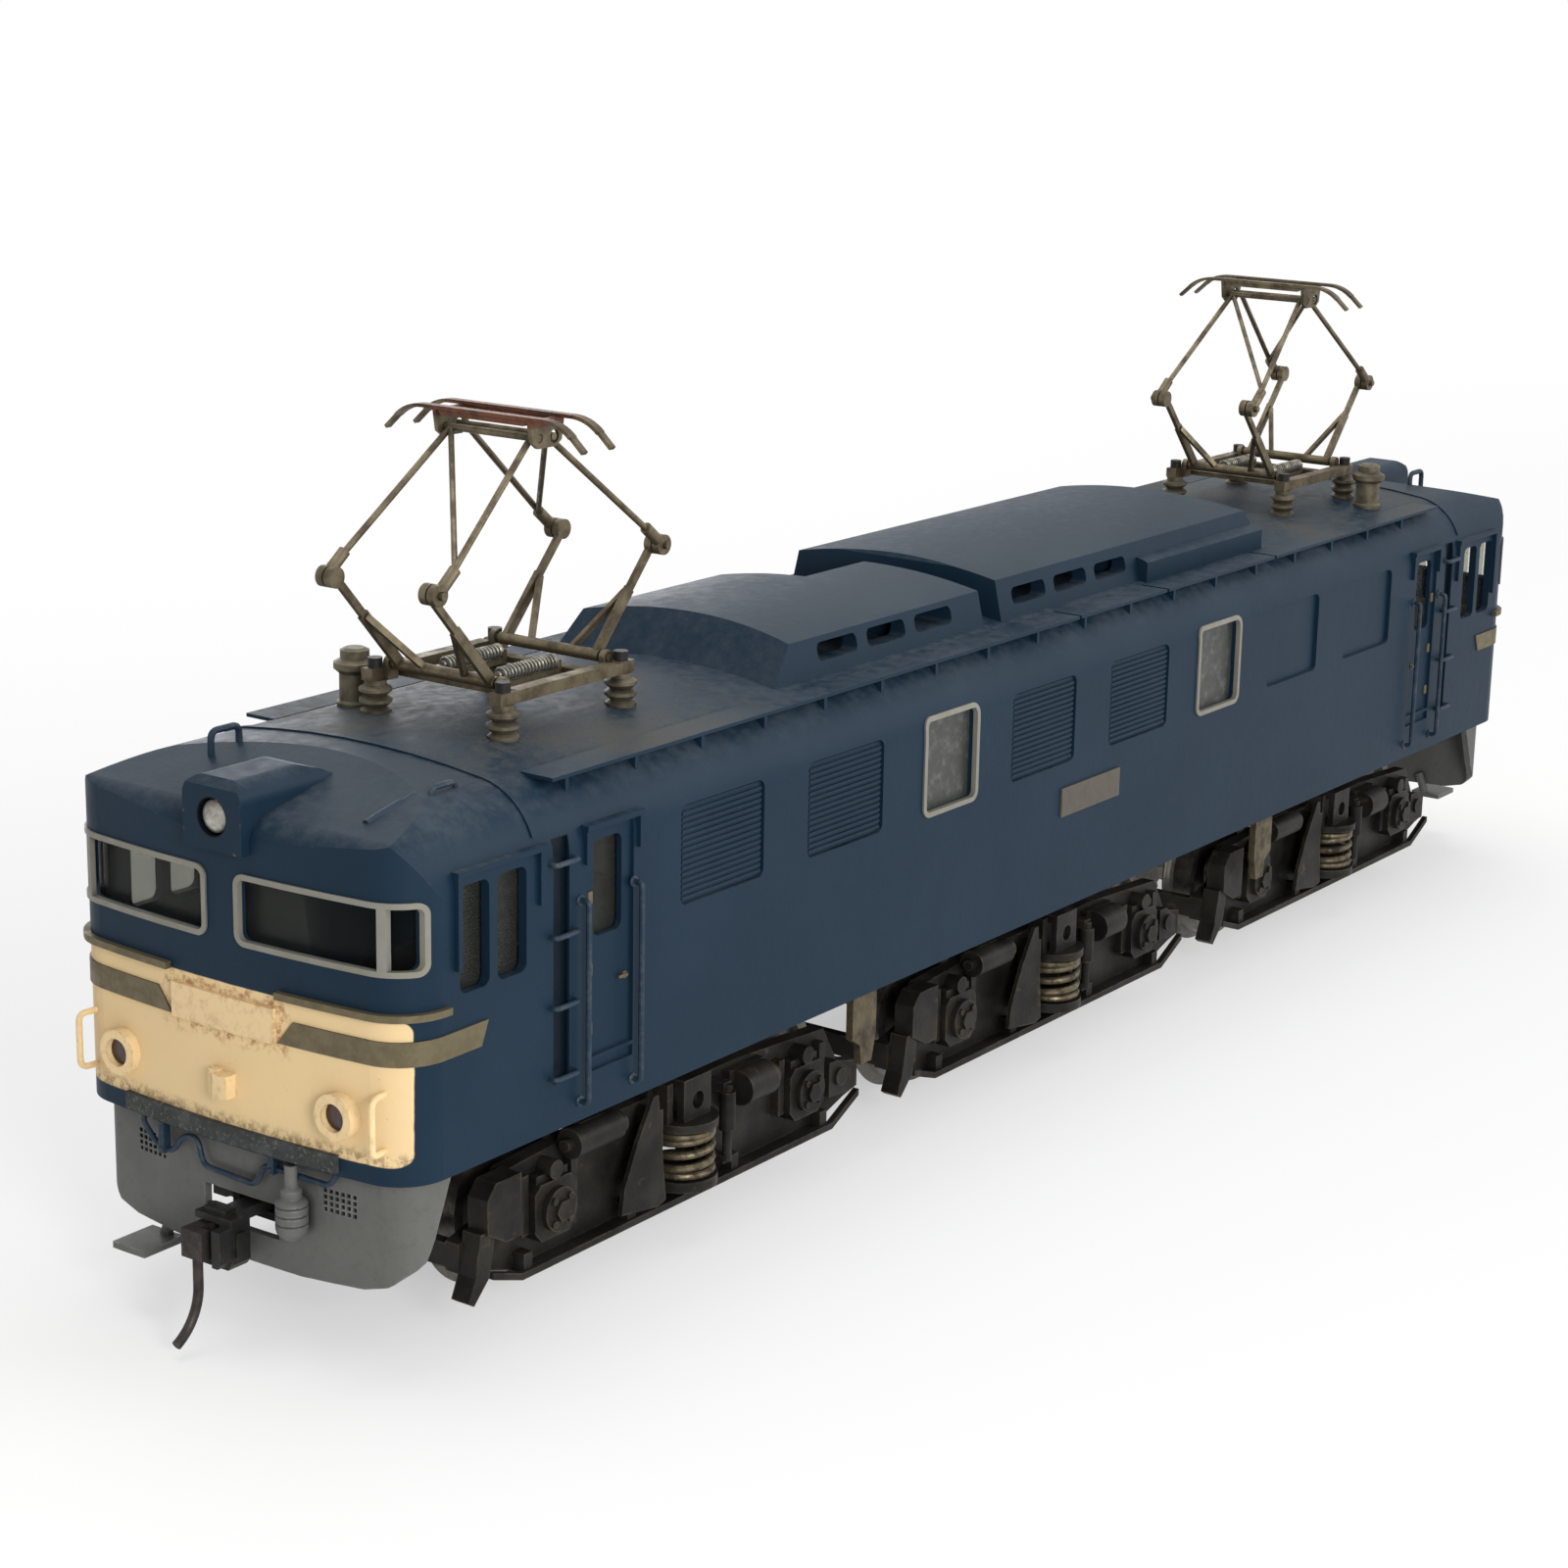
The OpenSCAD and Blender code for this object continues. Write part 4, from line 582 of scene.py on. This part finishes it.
def running_gear(paint):
    """Black-brown casting with brass on the edges, oil and dust, and painted shade in its hollows."""
    f = Finish("running gear")
    fine = f.noise(0.5, 4, 0.65)
    broad = f.noise(5, 3)
    base = f.blend(f.step(broad, 0.35, 0.7), list(paint.running), [0.024, 0.022, 0.018])
    worn = f.edges(0.28) * f.step(f.noise(1.6, 4, 0.7, shift=4), 0.4, 0.62)
    rubbed = f.step(f.noise(2.6, 4, 0.7, shift=9), 0.6, 0.72) * 0.35
    shown = (worn * 0.85).most(rubbed * f.hollows(1.0))
    base = f.blend(shown * 0.8, base, [0.15, 0.12, 0.075])
    # Painted shade: hollows are darkened almost to black by ambient occlusion.
    base = f.blend((1 - f.hollows(1.4)) * 0.8, base, [0.006, 0.006, 0.005])
    relief = f.bump(fine * 0.8 + f.noise(0.2, 2) * 0.2, 0.05)
    return f.close(base, 0.34 + fine * 0.22, shown * 0.75, relief, Specular_IOR_Level=OILY_SHINE)


def contact_strips(paint):
    """Copper strips on brass cheeks, with brass showing on the horns and painted shade in the hollows."""
    f = Finish("contact strips")
    fine = f.noise(0.35, 4, 0.6)
    patch = f.step(f.noise(2.0, 4, 0.65), 0.35, 0.68)
    copper = f.blend(patch, [0.15, 0.062, 0.036], [0.06, 0.032, 0.022])
    brass = f.blend(patch, list(paint.brass), [0.075, 0.056, 0.035])
    horns = f.step(abs(f.y) + (f.noise(1.5, 3) - 0.5), *STRIP_END_Y)
    top = f.step(f.z, *STRIP_Z) * (1 - horns * 0.8)
    base = f.blend(top, brass, copper)
    # Painted shade: hollows are darkened by ambient occlusion.
    base = f.blend((1 - f.hollows(0.8)) * 0.7, base, [0.02, 0.014, 0.01])
    return f.close(base, 0.42 + fine * 0.15, 0.65, f.bump(fine, 0.025))


def insulator_finish():
    """Dull tan metal insulators under black caps, with painted shade in the hollows."""
    f = Finish("insulators")
    fine = f.noise(0.4, 4, 0.65)
    base = f.blend(f.step(f.noise(1.5, 3), 0.35, 0.7), [0.155, 0.135, 0.092], [0.07, 0.058, 0.04])
    # Painted shade: hollows are darkened by ambient occlusion.
    base = f.blend((1 - f.hollows(0.8)) * 0.8, base, [0.02, 0.018, 0.014])
    cap = f.step(f.z, *CAP_Z) * (1 - f.step(abs(f.y), *CAP_Y))
    base = f.blend(cap, base, [0.012, 0.011, 0.010])
    return f.close(base, 0.42 + fine * 0.2, 0.45 - cap * 0.4, f.bump(fine, 0.03))


def glazing():
    """Thin glazing: clear in the cabs, dusty in the engine room."""
    f = Finish("dusty glazing")
    engine_room = 1 - f.step(abs(f.x), *ENGINE_ROOM_X)
    smear = f.step(f.noise(3.0, 4, 0.65), 0.35, 0.75)
    dust = f.step(f.noise(0.9, 3, 0.6), 0.45, 0.8) * (engine_room * 0.9 + 0.1)
    pane = f.node("ShaderNodeBsdfPrincipled", {}, {
        "Base Color": f.blend(dust * 0.5, [0.05, 0.053, 0.05], [0.16, 0.155, 0.14]),
        "Roughness": 0.1 + smear * 0.2 + engine_room * 0.3, "Metallic": 0.0, "IOR": 1.45,
    })
    through = f.node("ShaderNodeBsdfTransparent", {}, {"Color": (0.94, 0.94, 0.91, 1)})
    gloss = f.node("ShaderNodeFresnel", {}, {"IOR": 1.45})
    cover = (gloss * 0.5 + 0.01 + smear * 0.03 + engine_room * (0.82 + dust * 0.12)).least(1.0)
    return f.end(f.node("ShaderNodeMixShader", {}, {0: cover, 1: through, 2: pane}))


def lens_finish(name, color, rough, inner):
    """A moulded lens with fine ribs."""
    f = Finish(name)
    ribs = (f.y * 9.0).sine() * 0.5 + 0.5
    base = f.blend(f.step(f.noise(0.6, 3), 0.35, 0.7) * 0.5, list(color), list(inner))
    relief = f.bump(ribs * 0.5 + f.noise(0.4, 2), 0.03)
    return f.close(base, rough, 0.0, relief, Coat_Weight=0.6, Coat_Roughness=0.08, Transmission_Weight=0.15)


def grip_strip():
    """Worn dark strip with tan specks."""
    f = Finish("tread strip")
    specks = f.step(f.noise(0.35, 3, 0.7), 0.56, 0.66)
    base = f.blend(f.step(f.noise(1.5, 3), 0.4, 0.7), [0.028, 0.033, 0.031], [0.055, 0.06, 0.062])
    base = f.blend(specks * 0.7, base, [0.16, 0.14, 0.11])
    return f.close(base, 0.75, 0.0, f.bump(f.noise(0.3, 3, 0.7), 0.14))


def bare_plate(name, end_color, side_color, edge_color):
    """Bare number plates: painted and rust-stained on the cab fronts, brown metal on the sides."""
    f = Finish(name)
    front = f.step(abs(f.x), *END_PLATE_X)
    stain = f.step(f.noise(0.9, 4, 0.7), 0.45, 0.68)
    cream = f.blend(stain * (f.edges(0.5) * 0.6 + 0.25), list(end_color), [0.3, 0.13, 0.05])
    brown = f.blend(f.edges(0.25) * 0.6, list(side_color), list(edge_color))
    base = f.blend(front, f.blend(stain * 0.3, brown, [0.05, 0.04, 0.03]), cream)
    return f.close(base, 0.5, 0.0, f.bump(f.noise(0.4, 3), 0.03))


def turned_metal(name, color, dark):
    """Turned metal, with rings from the lathe about the wheelset's axle and painted shade in the hollows."""
    f = Finish(name)
    tarnish = f.step(f.noise(1.8, 4, 0.65), 0.4, 0.7)
    rings = ((f.y * 22.0).sine() * 0.5 + 0.5) * 0.3
    base = f.blend(tarnish * 0.6, list(color), list(dark))
    # Painted shade: hollows are darkened almost to black by ambient occlusion.
    base = f.blend((1 - f.hollows(1.2)) * 0.7, base, [0.01, 0.009, 0.008])
    return f.close(base, 0.3 + f.noise(0.5, 3) * 0.2, 0.9, f.bump(rings + f.noise(0.3, 2) * 0.5, 0.02))


FINISHES = {}


def finish_of(key):
    """Makes a finish on first use, so that pieces share it."""
    if key not in FINISHES:
        paint = bpy.context.scene.loco_paint
        FINISHES[key] = FINISH_MAKERS[key](paint)
    return FINISHES[key]


FINISH_MAKERS = {
    "body": body_paint,
    "rail_blue": lambda p: plain_paint(
        "handrail paint", [c * 1.1 for c in p.blue], 0.42, (0.2, 0.19, 0.16), 0.15,
    ),
    "plates": lambda p: bare_plate("number plates", p.cream, (0.085, 0.075, 0.06), (0.14, 0.12, 0.08)),
    "blue": lambda p: body_paint(p, "navy fittings paint", False),
    "cream": lambda p: plain_paint(
        "cream fittings paint", p.cream, 0.4, (0.4, 0.25, 0.1), 0.2, (0.3, 0.17, 0.07), 0.3,
    ),
    "frames": lambda p: worn_metal("window frame metal", p.frames, (0.2, 0.19, 0.15), 0.38, 2.5, 0.35),
    "stripe": lambda p: worn_metal("stripe metal", p.stripe, (0.11, 0.09, 0.05), 0.4, 1.2, 0.55),
    # The skirts get strong painted shade in their hollows and vents.
    "skirt": lambda p: plain_paint("skirt grey", p.skirt, 0.5, (0.3, 0.3, 0.3), 0.2, hollow_shade=0.9),
    "tread": lambda p: grip_strip(),
    "running": running_gear,
    "coil": lambda p: worn_metal(
        "bolster spring brass", (0.16, 0.13, 0.082), (0.025, 0.02, 0.015), 0.36, 1.2, 0.8,
    ),
    "bracket": lambda p: worn_metal(
        "bracket brass", (0.13, 0.105, 0.062), (0.035, 0.028, 0.02), 0.42, 2.2, 0.7,
    ),
    "wheel": lambda p: turned_metal("wheel metal", (0.16, 0.15, 0.13), (0.03, 0.026, 0.022)),
    "drive": lambda p: turned_metal("drive brass", (0.6, 0.44, 0.2), (0.25, 0.17, 0.08)),
    "motor": lambda p: worn_metal("motor steel", (0.36, 0.36, 0.37), (0.15, 0.15, 0.15), 0.35, 6, 0.9),
    "weight": lambda p: worn_metal("cast weight", (0.3, 0.3, 0.31), (0.14, 0.14, 0.14), 0.55, 6, 0.8),
    "floor_black": lambda p: plain_paint("chassis black", (0.016, 0.016, 0.016), 0.5, (0.2, 0.16, 0.1), 0.2),
    "panto": lambda p: worn_metal("pantograph brass", p.brass, (0.07, 0.052, 0.032), 0.38, 2.4, 0.85, 0.2),
    "panto_spring": lambda p: worn_metal(
        "pantograph spring steel", (0.36, 0.34, 0.29), (0.13, 0.12, 0.1), 0.35, 1.0, 0.8,
    ),
    "strip": contact_strips,
    "insulator": lambda p: insulator_finish(),
    "coupler": lambda p: plain_paint("coupler black", (0.009, 0.009, 0.009), 0.42, (0.1, 0.085, 0.06), 0.1),
    "pin": lambda p: worn_metal("trip pin", (0.06, 0.05, 0.045), (0.022, 0.018, 0.017), 0.42, 1.5, 0.6),
    "glass": lambda p: glazing(),
    "lamp": lambda p: worn_metal("headlight dome", (0.46, 0.45, 0.41), (0.20, 0.19, 0.165), 0.3, 1.4, 0.9),
    "tail": lambda p: lens_finish("tail lamp lens", (0.045, 0.008, 0.006), 0.2, (0.02, 0.006, 0.005)),
    "screw": lambda p: worn_metal("screw steel", (0.42, 0.41, 0.38), (0.2, 0.19, 0.17), 0.35, 1.0, 0.9),
}


# Pieces --------------------------------------------------------------------------------------
class LOCO_OT_bodywork(bpy.types.Operator):
    """Paints the body, its roof monitors, trim and plates"""

    bl_idname = "loco.bodywork"
    bl_label = "Bodywork"
    bl_options = {"REGISTER", "UNDO"}

    def execute(self, context):
        dress(finish_of("body"), "body_shell")
        dress(finish_of("blue"), "roof_monitor_front", "roof_monitor_rear", "roof_walkways")
        dress(finish_of("blue"), "rain_gutters", "louvre_panels")
        dress(finish_of("plates"), "blank_plates")
        dress(finish_of("stripe"), "front_trim")
        dress(finish_of("cream"), "front_fittings")
        dress(finish_of("tread"), "buffer_steps")
        dress(finish_of("tail"), "tail_lamp_lenses")
        dress(finish_of("lamp"), "headlight_lenses")
        self.doors()
        return {"FINISHED"}

    def doors(self):
        """Handles and hinges of the four cab doors."""
        piece = Piece()
        knob = [(0.3, 0), (0.3, 0.25), (0.16, 0.3), (0.16, 0.42), (0.0, 0.45)]
        for sx, sy in corners():
            for z in HINGE["heights"]:
                middle = Vector((sx * HINGE["x"], sy * HINGE["y"], z))
                piece.block(middle - HINGE["half"], middle + HINGE["half"], 0.08)
            piece.turned((sx * HANDLE["x"], sy * HANDLE["y"], HANDLE["z"]), (0, sy, 0), knob, 12)
            middle = LEVER["middle"] * Vector((sx, sy, 1))
            piece.block(middle - LEVER["half"], middle + LEVER["half"], 0.05)
        piece.done("door_fittings", "locomotive", "trim_metal", finish_of("stripe"))


class LOCO_OT_glazing(bpy.types.Operator):
    """Window frames and glazing"""

    bl_idname = "loco.glazing"
    bl_label = "Glazing"
    bl_options = {"REGISTER", "UNDO"}

    def execute(self, context):
        dress(finish_of("frames"), "windscreen_frames", "side_window_frames")
        dress(finish_of("glass"), "windscreen_glass", "side_window_glass")
        return {"FINISHED"}


class LOCO_OT_handrails(bpy.types.Operator):
    """Bent wire handrails, ladder rungs and pipes, with their feet"""

    bl_idname = "loco.handrails"
    bl_label = "Handrails"
    bl_options = {"REGISTER", "UNDO"}

    def execute(self, context):
        sizes = context.scene.loco_sizes
        self.sides(sizes.rail / MM, sizes.rung / MM)
        self.cab_corners()
        self.jumper_pipes()
        return {"FINISHED"}

    def foot(self, piece, at, axis, radius):
        """The flange where a wire of that radius meets the side."""
        shape = ((1.9, -0.05), (1.9, 0.08), (1.5, 0.16), (0.9, 0.17))
        piece.turned(at, axis, [(radius * wide, height) for wide, height in shape], 14)

    def sides(self, rail, rung):
        """Rails beside the doors, ladder rungs and the fittings of both cab roofs."""
        piece = Piece()
        for sx, sy in corners():
            foot_y, out_y = [sy * y for y in RAIL_Y]
            low, high = RAIL_Z
            for x in [sx * x for x in RAIL_X]:
                path = [(x, foot_y, low), (x, out_y, low), (x, out_y, high), (x, foot_y, high)]
                piece.tube(softened(path, 0.55), rail)
                for z in RAIL_Z:
                    self.foot(piece, (x, sy * 17.5, z), (0, sy, 0), rail)
            foot_y, out_y = [sy * y for y in RUNG_Y]
            far, near = [sx * x for x in RUNG_X]
            for z in RUNG_Z:
                path = [(far, foot_y, z), (far, out_y, z), (near, out_y, z), (near, foot_y, z)]
                piece.tube(softened(path, 0.45), rung)
        for turn in (1, -1):
            self.roof_fittings(piece, turn)
        piece.done("wire_handrails", "locomotive", "navy_paint", finish_of("rail_blue"), ["body_handrails"])

    def roof_fittings(self, piece, turn):
        """Loops and whistle of one cab roof; turn is -1 for the cab turned half round."""
        round_about = Vector((turn, turn, 1))
        for path, radius in ((TALL_LOOP, 0.28), (LOW_LOOP, 0.24)):
            piece.tube(softened([Vector(p) * round_about for p in path], 0.7), radius)
        whistle = [(WHISTLE_FROM + WHISTLE_RUN * t) * round_about for t, _ in WHISTLE_SHAPE]
        piece.tube(whistle, [radius for _, radius in WHISTLE_SHAPE], 14)
        for x in WHISTLE_POSTS["x"]:
            post = [Vector((-x, WHISTLE_FROM.y, z)) * round_about for z in WHISTLE_POSTS["z"]]
            piece.tube(post, WHISTLE_POSTS["radius"])

    def cab_corners(self):
        """The short rails on the four cab corners."""
        piece = Piece()
        low, high = CAB_RAIL_Z
        for sx, sy in corners():
            foot = (sx * CAB_RAIL_FOOT[0], sy * CAB_RAIL_FOOT[1])
            out = (sx * CAB_RAIL_OUT[0], sy * CAB_RAIL_OUT[1])
            path = [(*foot, low), (*out, low), (*out, high), (*foot, high)]
            piece.tube(softened(path, 0.7), 0.26)
        piece.done("cab_corner_handrails", "locomotive", "cream_paint", finish_of("cream"), ["cab_handrails"])

    def jumper_pipes(self):
        """The bent pipe with its clips and the ribbed hose head of each end."""
        pipe, hose = Piece(), Piece()
        last = len(JUMPER_ROUTE) - 1
        rib = [(1.2, 0), (1.25, 0.03), (1.25, 0.2), (1.2, 0.23)]
        for sx in ENDS.values():
            insets = [JUMPER_END_INSET if i in (0, last) else 0 for i in range(last + 1)]
            path = [(sx * (JUMPER_X - inset), y, z) for inset, (y, z) in zip(insets, JUMPER_ROUTE)]
            pipe.tube(softened(path, 0.7), 0.24)
            low_x, high_x = sorted(sx * x for x in CLIP_X)
            for y, z in CLIPS:
                pipe.block((low_x, y - 0.3, z), (high_x, y + 0.3, CLIP_TOP_Z), 0.1)
                pipe.bolt((sx * (CLIP_X[1] - 0.02), y, z + 0.4), (sx, 0, 0), 0.2)
            hose.turned((sx * HOSE["x"], HOSE["y"], HOSE["z"]), (0, 0, 1), HOSE_SHAPE, 28)
            for z in HOSE_RIBS_Z:
                hose.turned((sx * HOSE["x"], HOSE["y"], z), (0, 0, 1), rib, 28)
        pipe.done("jumper_pipes", "locomotive", "navy_paint", finish_of("rail_blue"), ["jumper_rails"])
        hose.done("jumper_hoses", "locomotive", "skirt_grey", finish_of("skirt"))


class LOCO_OT_roof(bpy.types.Operator):
    """Roof insulators"""

    bl_idname = "loco.roof"
    bl_label = "Roof"
    bl_options = {"REGISTER", "UNDO"}

    def execute(self, context):
        dress(finish_of("insulator"), "roof_insulators")
        return {"FINISHED"}


class LOCO_OT_ends(bpy.types.Operator):
    """Skirts, corner steps and couplers"""

    bl_idname = "loco.ends"
    bl_label = "Ends"
    bl_options = {"REGISTER", "UNDO"}

    def execute(self, context):
        dress(finish_of("skirt"), "end_skirts", "corner_steps")
        dress(finish_of("coupler"), "coupler_boxes", "coupler_front", "coupler_rear")
        dress(finish_of("pin"), "knuckle_front", "knuckle_rear")
        return {"FINISHED"}


class LOCO_OT_bogies(bpy.types.Operator):
    """Bogie frames with wound springs"""

    bl_idname = "loco.bogies"
    bl_label = "Bogies"
    bl_options = {"REGISTER", "UNDO"}

    def execute(self, context):
        wire = context.scene.loco_sizes.coil_wire / MM
        spring = BOLSTER_SPRING
        for name, x in BOGIES.items():
            dress(finish_of("running"), f"bogie_frame_{name}")
            piece = Piece()
            for sy in SIDES:
                middle = (x, sy * spring["y"], spring["z"])
                path = coil(middle, (0, 0, 1), spring["radius"], spring["length"], spring["turns"], 22)
                piece.tube(path, wire, 10)
            piece.done(
                f"wound_springs_{name}", f"bogie_{name}", "spring_brass", finish_of("coil"),
                [f"bogie_springs_{name}"],
            )
        return {"FINISHED"}


class LOCO_OT_wheels(bpy.types.Operator):
    """Wheelsets with turned treads"""

    bl_idname = "loco.wheels"
    bl_label = "Wheels"
    bl_options = {"REGISTER", "UNDO"}

    def execute(self, context):
        dress(finish_of("wheel"), *[f"wheelset_{i}" for i in WHEELSETS])
        return {"FINISHED"}


class LOCO_OT_drive(bpy.types.Operator):
    """Chassis, motor, shafts and weights"""

    bl_idname = "loco.drive"
    bl_label = "Drive"
    bl_options = {"REGISTER", "UNDO"}

    def execute(self, context):
        dress(finish_of("floor_black"), "chassis_floor")
        dress(finish_of("bracket"), "floor_brackets", "swing_plate")
        dress(finish_of("screw"), "body_screws")
        dress(finish_of("motor"), "motor_case", "drive_shaft")
        dress(finish_of("weight"), "ballast_weights")
        dress(finish_of("drive"), "worm_shaft_front", "worm_shaft_rear")
        return {"FINISHED"}


class LOCO_OT_pantographs(bpy.types.Operator):
    """Pantographs with wound springs"""

    bl_idname = "loco.pantographs"
    bl_label = "Pantographs"
    bl_options = {"REGISTER", "UNDO"}

    def execute(self, context):
        dress(finish_of("panto"), "pantograph_bases")
        for end in ENDS:
            arms = [f"{end}_panto_{part}" for part in ("arm_a", "arm_b", "upper_a", "upper_b")]
            dress(finish_of("panto"), *arms)
            dress(finish_of("strip" if end == "front" else "panto"), f"{end}_panto_head")
        self.springs(context.scene.loco_sizes.panto_wire / MM)
        return {"FINISHED"}

    def springs(self, wire):
        """Two wound springs on each base, with an eye at each end."""
        spring, eye = PANTOGRAPH_SPRING, SPRING_EYE
        piece = Piece()
        for sx in ENDS.values():
            for sy in SIDES:
                middle = Vector((sx * PANTOGRAPH_X, sy * spring["y"], spring["z"]))
                path = coil(middle, (1, 0, 0), spring["radius"], spring["length"], spring["turns"], 12)
                piece.tube(path, wire, 6)
                for t in SIDES:
                    ends = [middle + Vector((t * eye[key], 0, 0)) for key in ("from", "to")]
                    piece.tube(ends, eye["radius"])
        piece.done(
            "wound_pantograph_springs", "locomotive", "spring_brass", finish_of("panto_spring"),
            ["pantograph_springs"],
        )


class LOCO_OT_stage(bpy.types.Operator):
    """Floor, soft lights, world and camera"""

    bl_idname = "loco.stage"
    bl_label = "Stage"
    bl_options = {"REGISTER", "UNDO"}

    def execute(self, context):
        paint = context.scene.loco_paint
        stage = context.scene.loco_stage
        self.floor(paint)
        self.lights(stage)
        self.world(stage)
        self.camera(stage)
        return {"FINISHED"}

    def floor(self, paint):
        mesh = bpy.data.meshes.new("floor")
        half = FLOOR_HALF
        outline = [(-half, -half, 0), (half, -half, 0), (half, half, 0), (-half, half, 0)]
        mesh.from_pydata(outline, [], [(0, 1, 2, 3)])
        floor = bpy.data.objects.new("floor", mesh)
        bpy.context.scene.collection.objects.link(floor)
        f = Finish("studio floor")
        away = f.step((f.x * f.x * 0.3 + f.y * f.y) ** 0.5, *FLOOR_FADE)
        matt = f.node("ShaderNodeBsdfPrincipled", {}, {
            "Base Color": f.blend(f.noise(60, 2) * 0.02, list(paint.floor), [0.9, 0.9, 0.9]),
            "Roughness": 0.9, "Metallic": 0.0,
        })
        white = f.node("ShaderNodeEmission", {}, {"Color": (1, 1, 1, 1), "Strength": 1.0})
        share = f.seen() * (0.5 + away * 0.5)
        mesh.materials.append(f.end(f.node("ShaderNodeMixShader", {}, {0: share, 1: matt, 2: white})))

    def area(self, name, place, aim, size, strength):
        """A soft lamp at place, turned to aim; both and size are in metres."""
        data = bpy.data.lights.new(name, "AREA")
        data.shape = "RECTANGLE"
        data.size, data.size_y = size
        data.energy = strength
        lamp = bpy.data.objects.new(name, data)
        lamp.location = place
        lamp.rotation_euler = (Vector(aim) - Vector(place)).to_track_quat("-Z", "Y").to_euler()
        bpy.context.scene.collection.objects.link(lamp)

    def lights(self, stage):
        self.area("front", (-0.24, -0.30, 0.13), (-0.09, 0, 0.03), (0.12, 0.12), stage.key * 0.76)
        self.area("side", (0.35, -0.50, 0.28), (0.03, 0, 0.03), (0.4, 0.3), stage.key * 1.5)
        self.area("back", (0.3, 0.5, 0.16), (0.02, 0, 0.03), (0.4, 0.25), stage.key * 0.9)
        self.area("top", (0.05, 0.1, 0.8), (0, 0, 0), (0.7, 0.5), stage.key * 2.6)

    def world(self, stage):
        world = bpy.data.worlds.new("studio")
        bpy.context.scene.world = world
        world.use_nodes = True
        nodes = Nodes(world.node_tree)
        even, white = [
            nodes.node("ShaderNodeBackground", {}, {"Color": (1, 1, 1, 1), "Strength": strength})
            for strength in (stage.sky, 1.0)
        ]
        sky = nodes.node("ShaderNodeMixShader", {}, {0: nodes.seen(), 1: even, 2: white})
        nodes.node("ShaderNodeOutputWorld", {}, {"Surface": sky})
        bpy.context.scene.view_settings.view_transform = "Standard"

    def camera(self, stage):
        data = bpy.data.cameras.new("camera")
        data.lens = stage.lens
        data.sensor_width = SENSOR_WIDTH
        data.clip_start = 0.01
        data.clip_end = 20
        camera = bpy.data.objects.new("camera", data)
        look = CAMERA_LOOK.normalized()
        right = (CAMERA_RIGHT - look * CAMERA_RIGHT.dot(look)).normalized()
        up = right.cross(look)
        turn = Matrix((right, up, -look)).transposed().to_4x4()
        camera.matrix_world = Matrix.Translation(CAMERA_AT * MM) @ turn
        bpy.context.scene.collection.objects.link(camera)
        bpy.context.scene.camera = camera


STEPS = (
    LOCO_OT_bodywork, LOCO_OT_glazing, LOCO_OT_handrails, LOCO_OT_roof, LOCO_OT_ends, LOCO_OT_bogies,
    LOCO_OT_wheels, LOCO_OT_drive, LOCO_OT_pantographs, LOCO_OT_stage,
)


class LOCO_PT_panel(bpy.types.Panel):
    """Lists the steps and the settings"""

    bl_idname = "LOCO_PT_panel"
    bl_label = "Locomotive"
    bl_space_type = "VIEW_3D"
    bl_region_type = "UI"
    bl_category = "Locomotive"

    def draw(self, context):
        for step in STEPS:
            self.layout.operator(step.bl_idname)
        for group in settings():
            for name in group.bl_rna.properties.keys():
                if name not in ("rna_type", "name"):
                    self.layout.prop(group, name)


GROUPS = {"loco_paint": LocoPaint, "loco_sizes": LocoSizes, "loco_stage": LocoStage}


def register():
    for kind in (*GROUPS.values(), *STEPS, LOCO_PT_panel):
        bpy.utils.register_class(kind)
    for name, group in GROUPS.items():
        setattr(bpy.types.Scene, name, PointerProperty(type=group))


def unregister():
    for name in GROUPS:
        delattr(bpy.types.Scene, name)
    for kind in (LOCO_PT_panel, *reversed(STEPS), *GROUPS.values()):
        bpy.utils.unregister_class(kind)


def main():
    register()
    for step in STEPS:
        group, name = step.bl_idname.split(".")
        if getattr(getattr(bpy.ops, group), name)() != {"FINISHED"}:
            raise RuntimeError(f"{step.bl_label} did not finish")


if __name__ == "__main__":
    main()
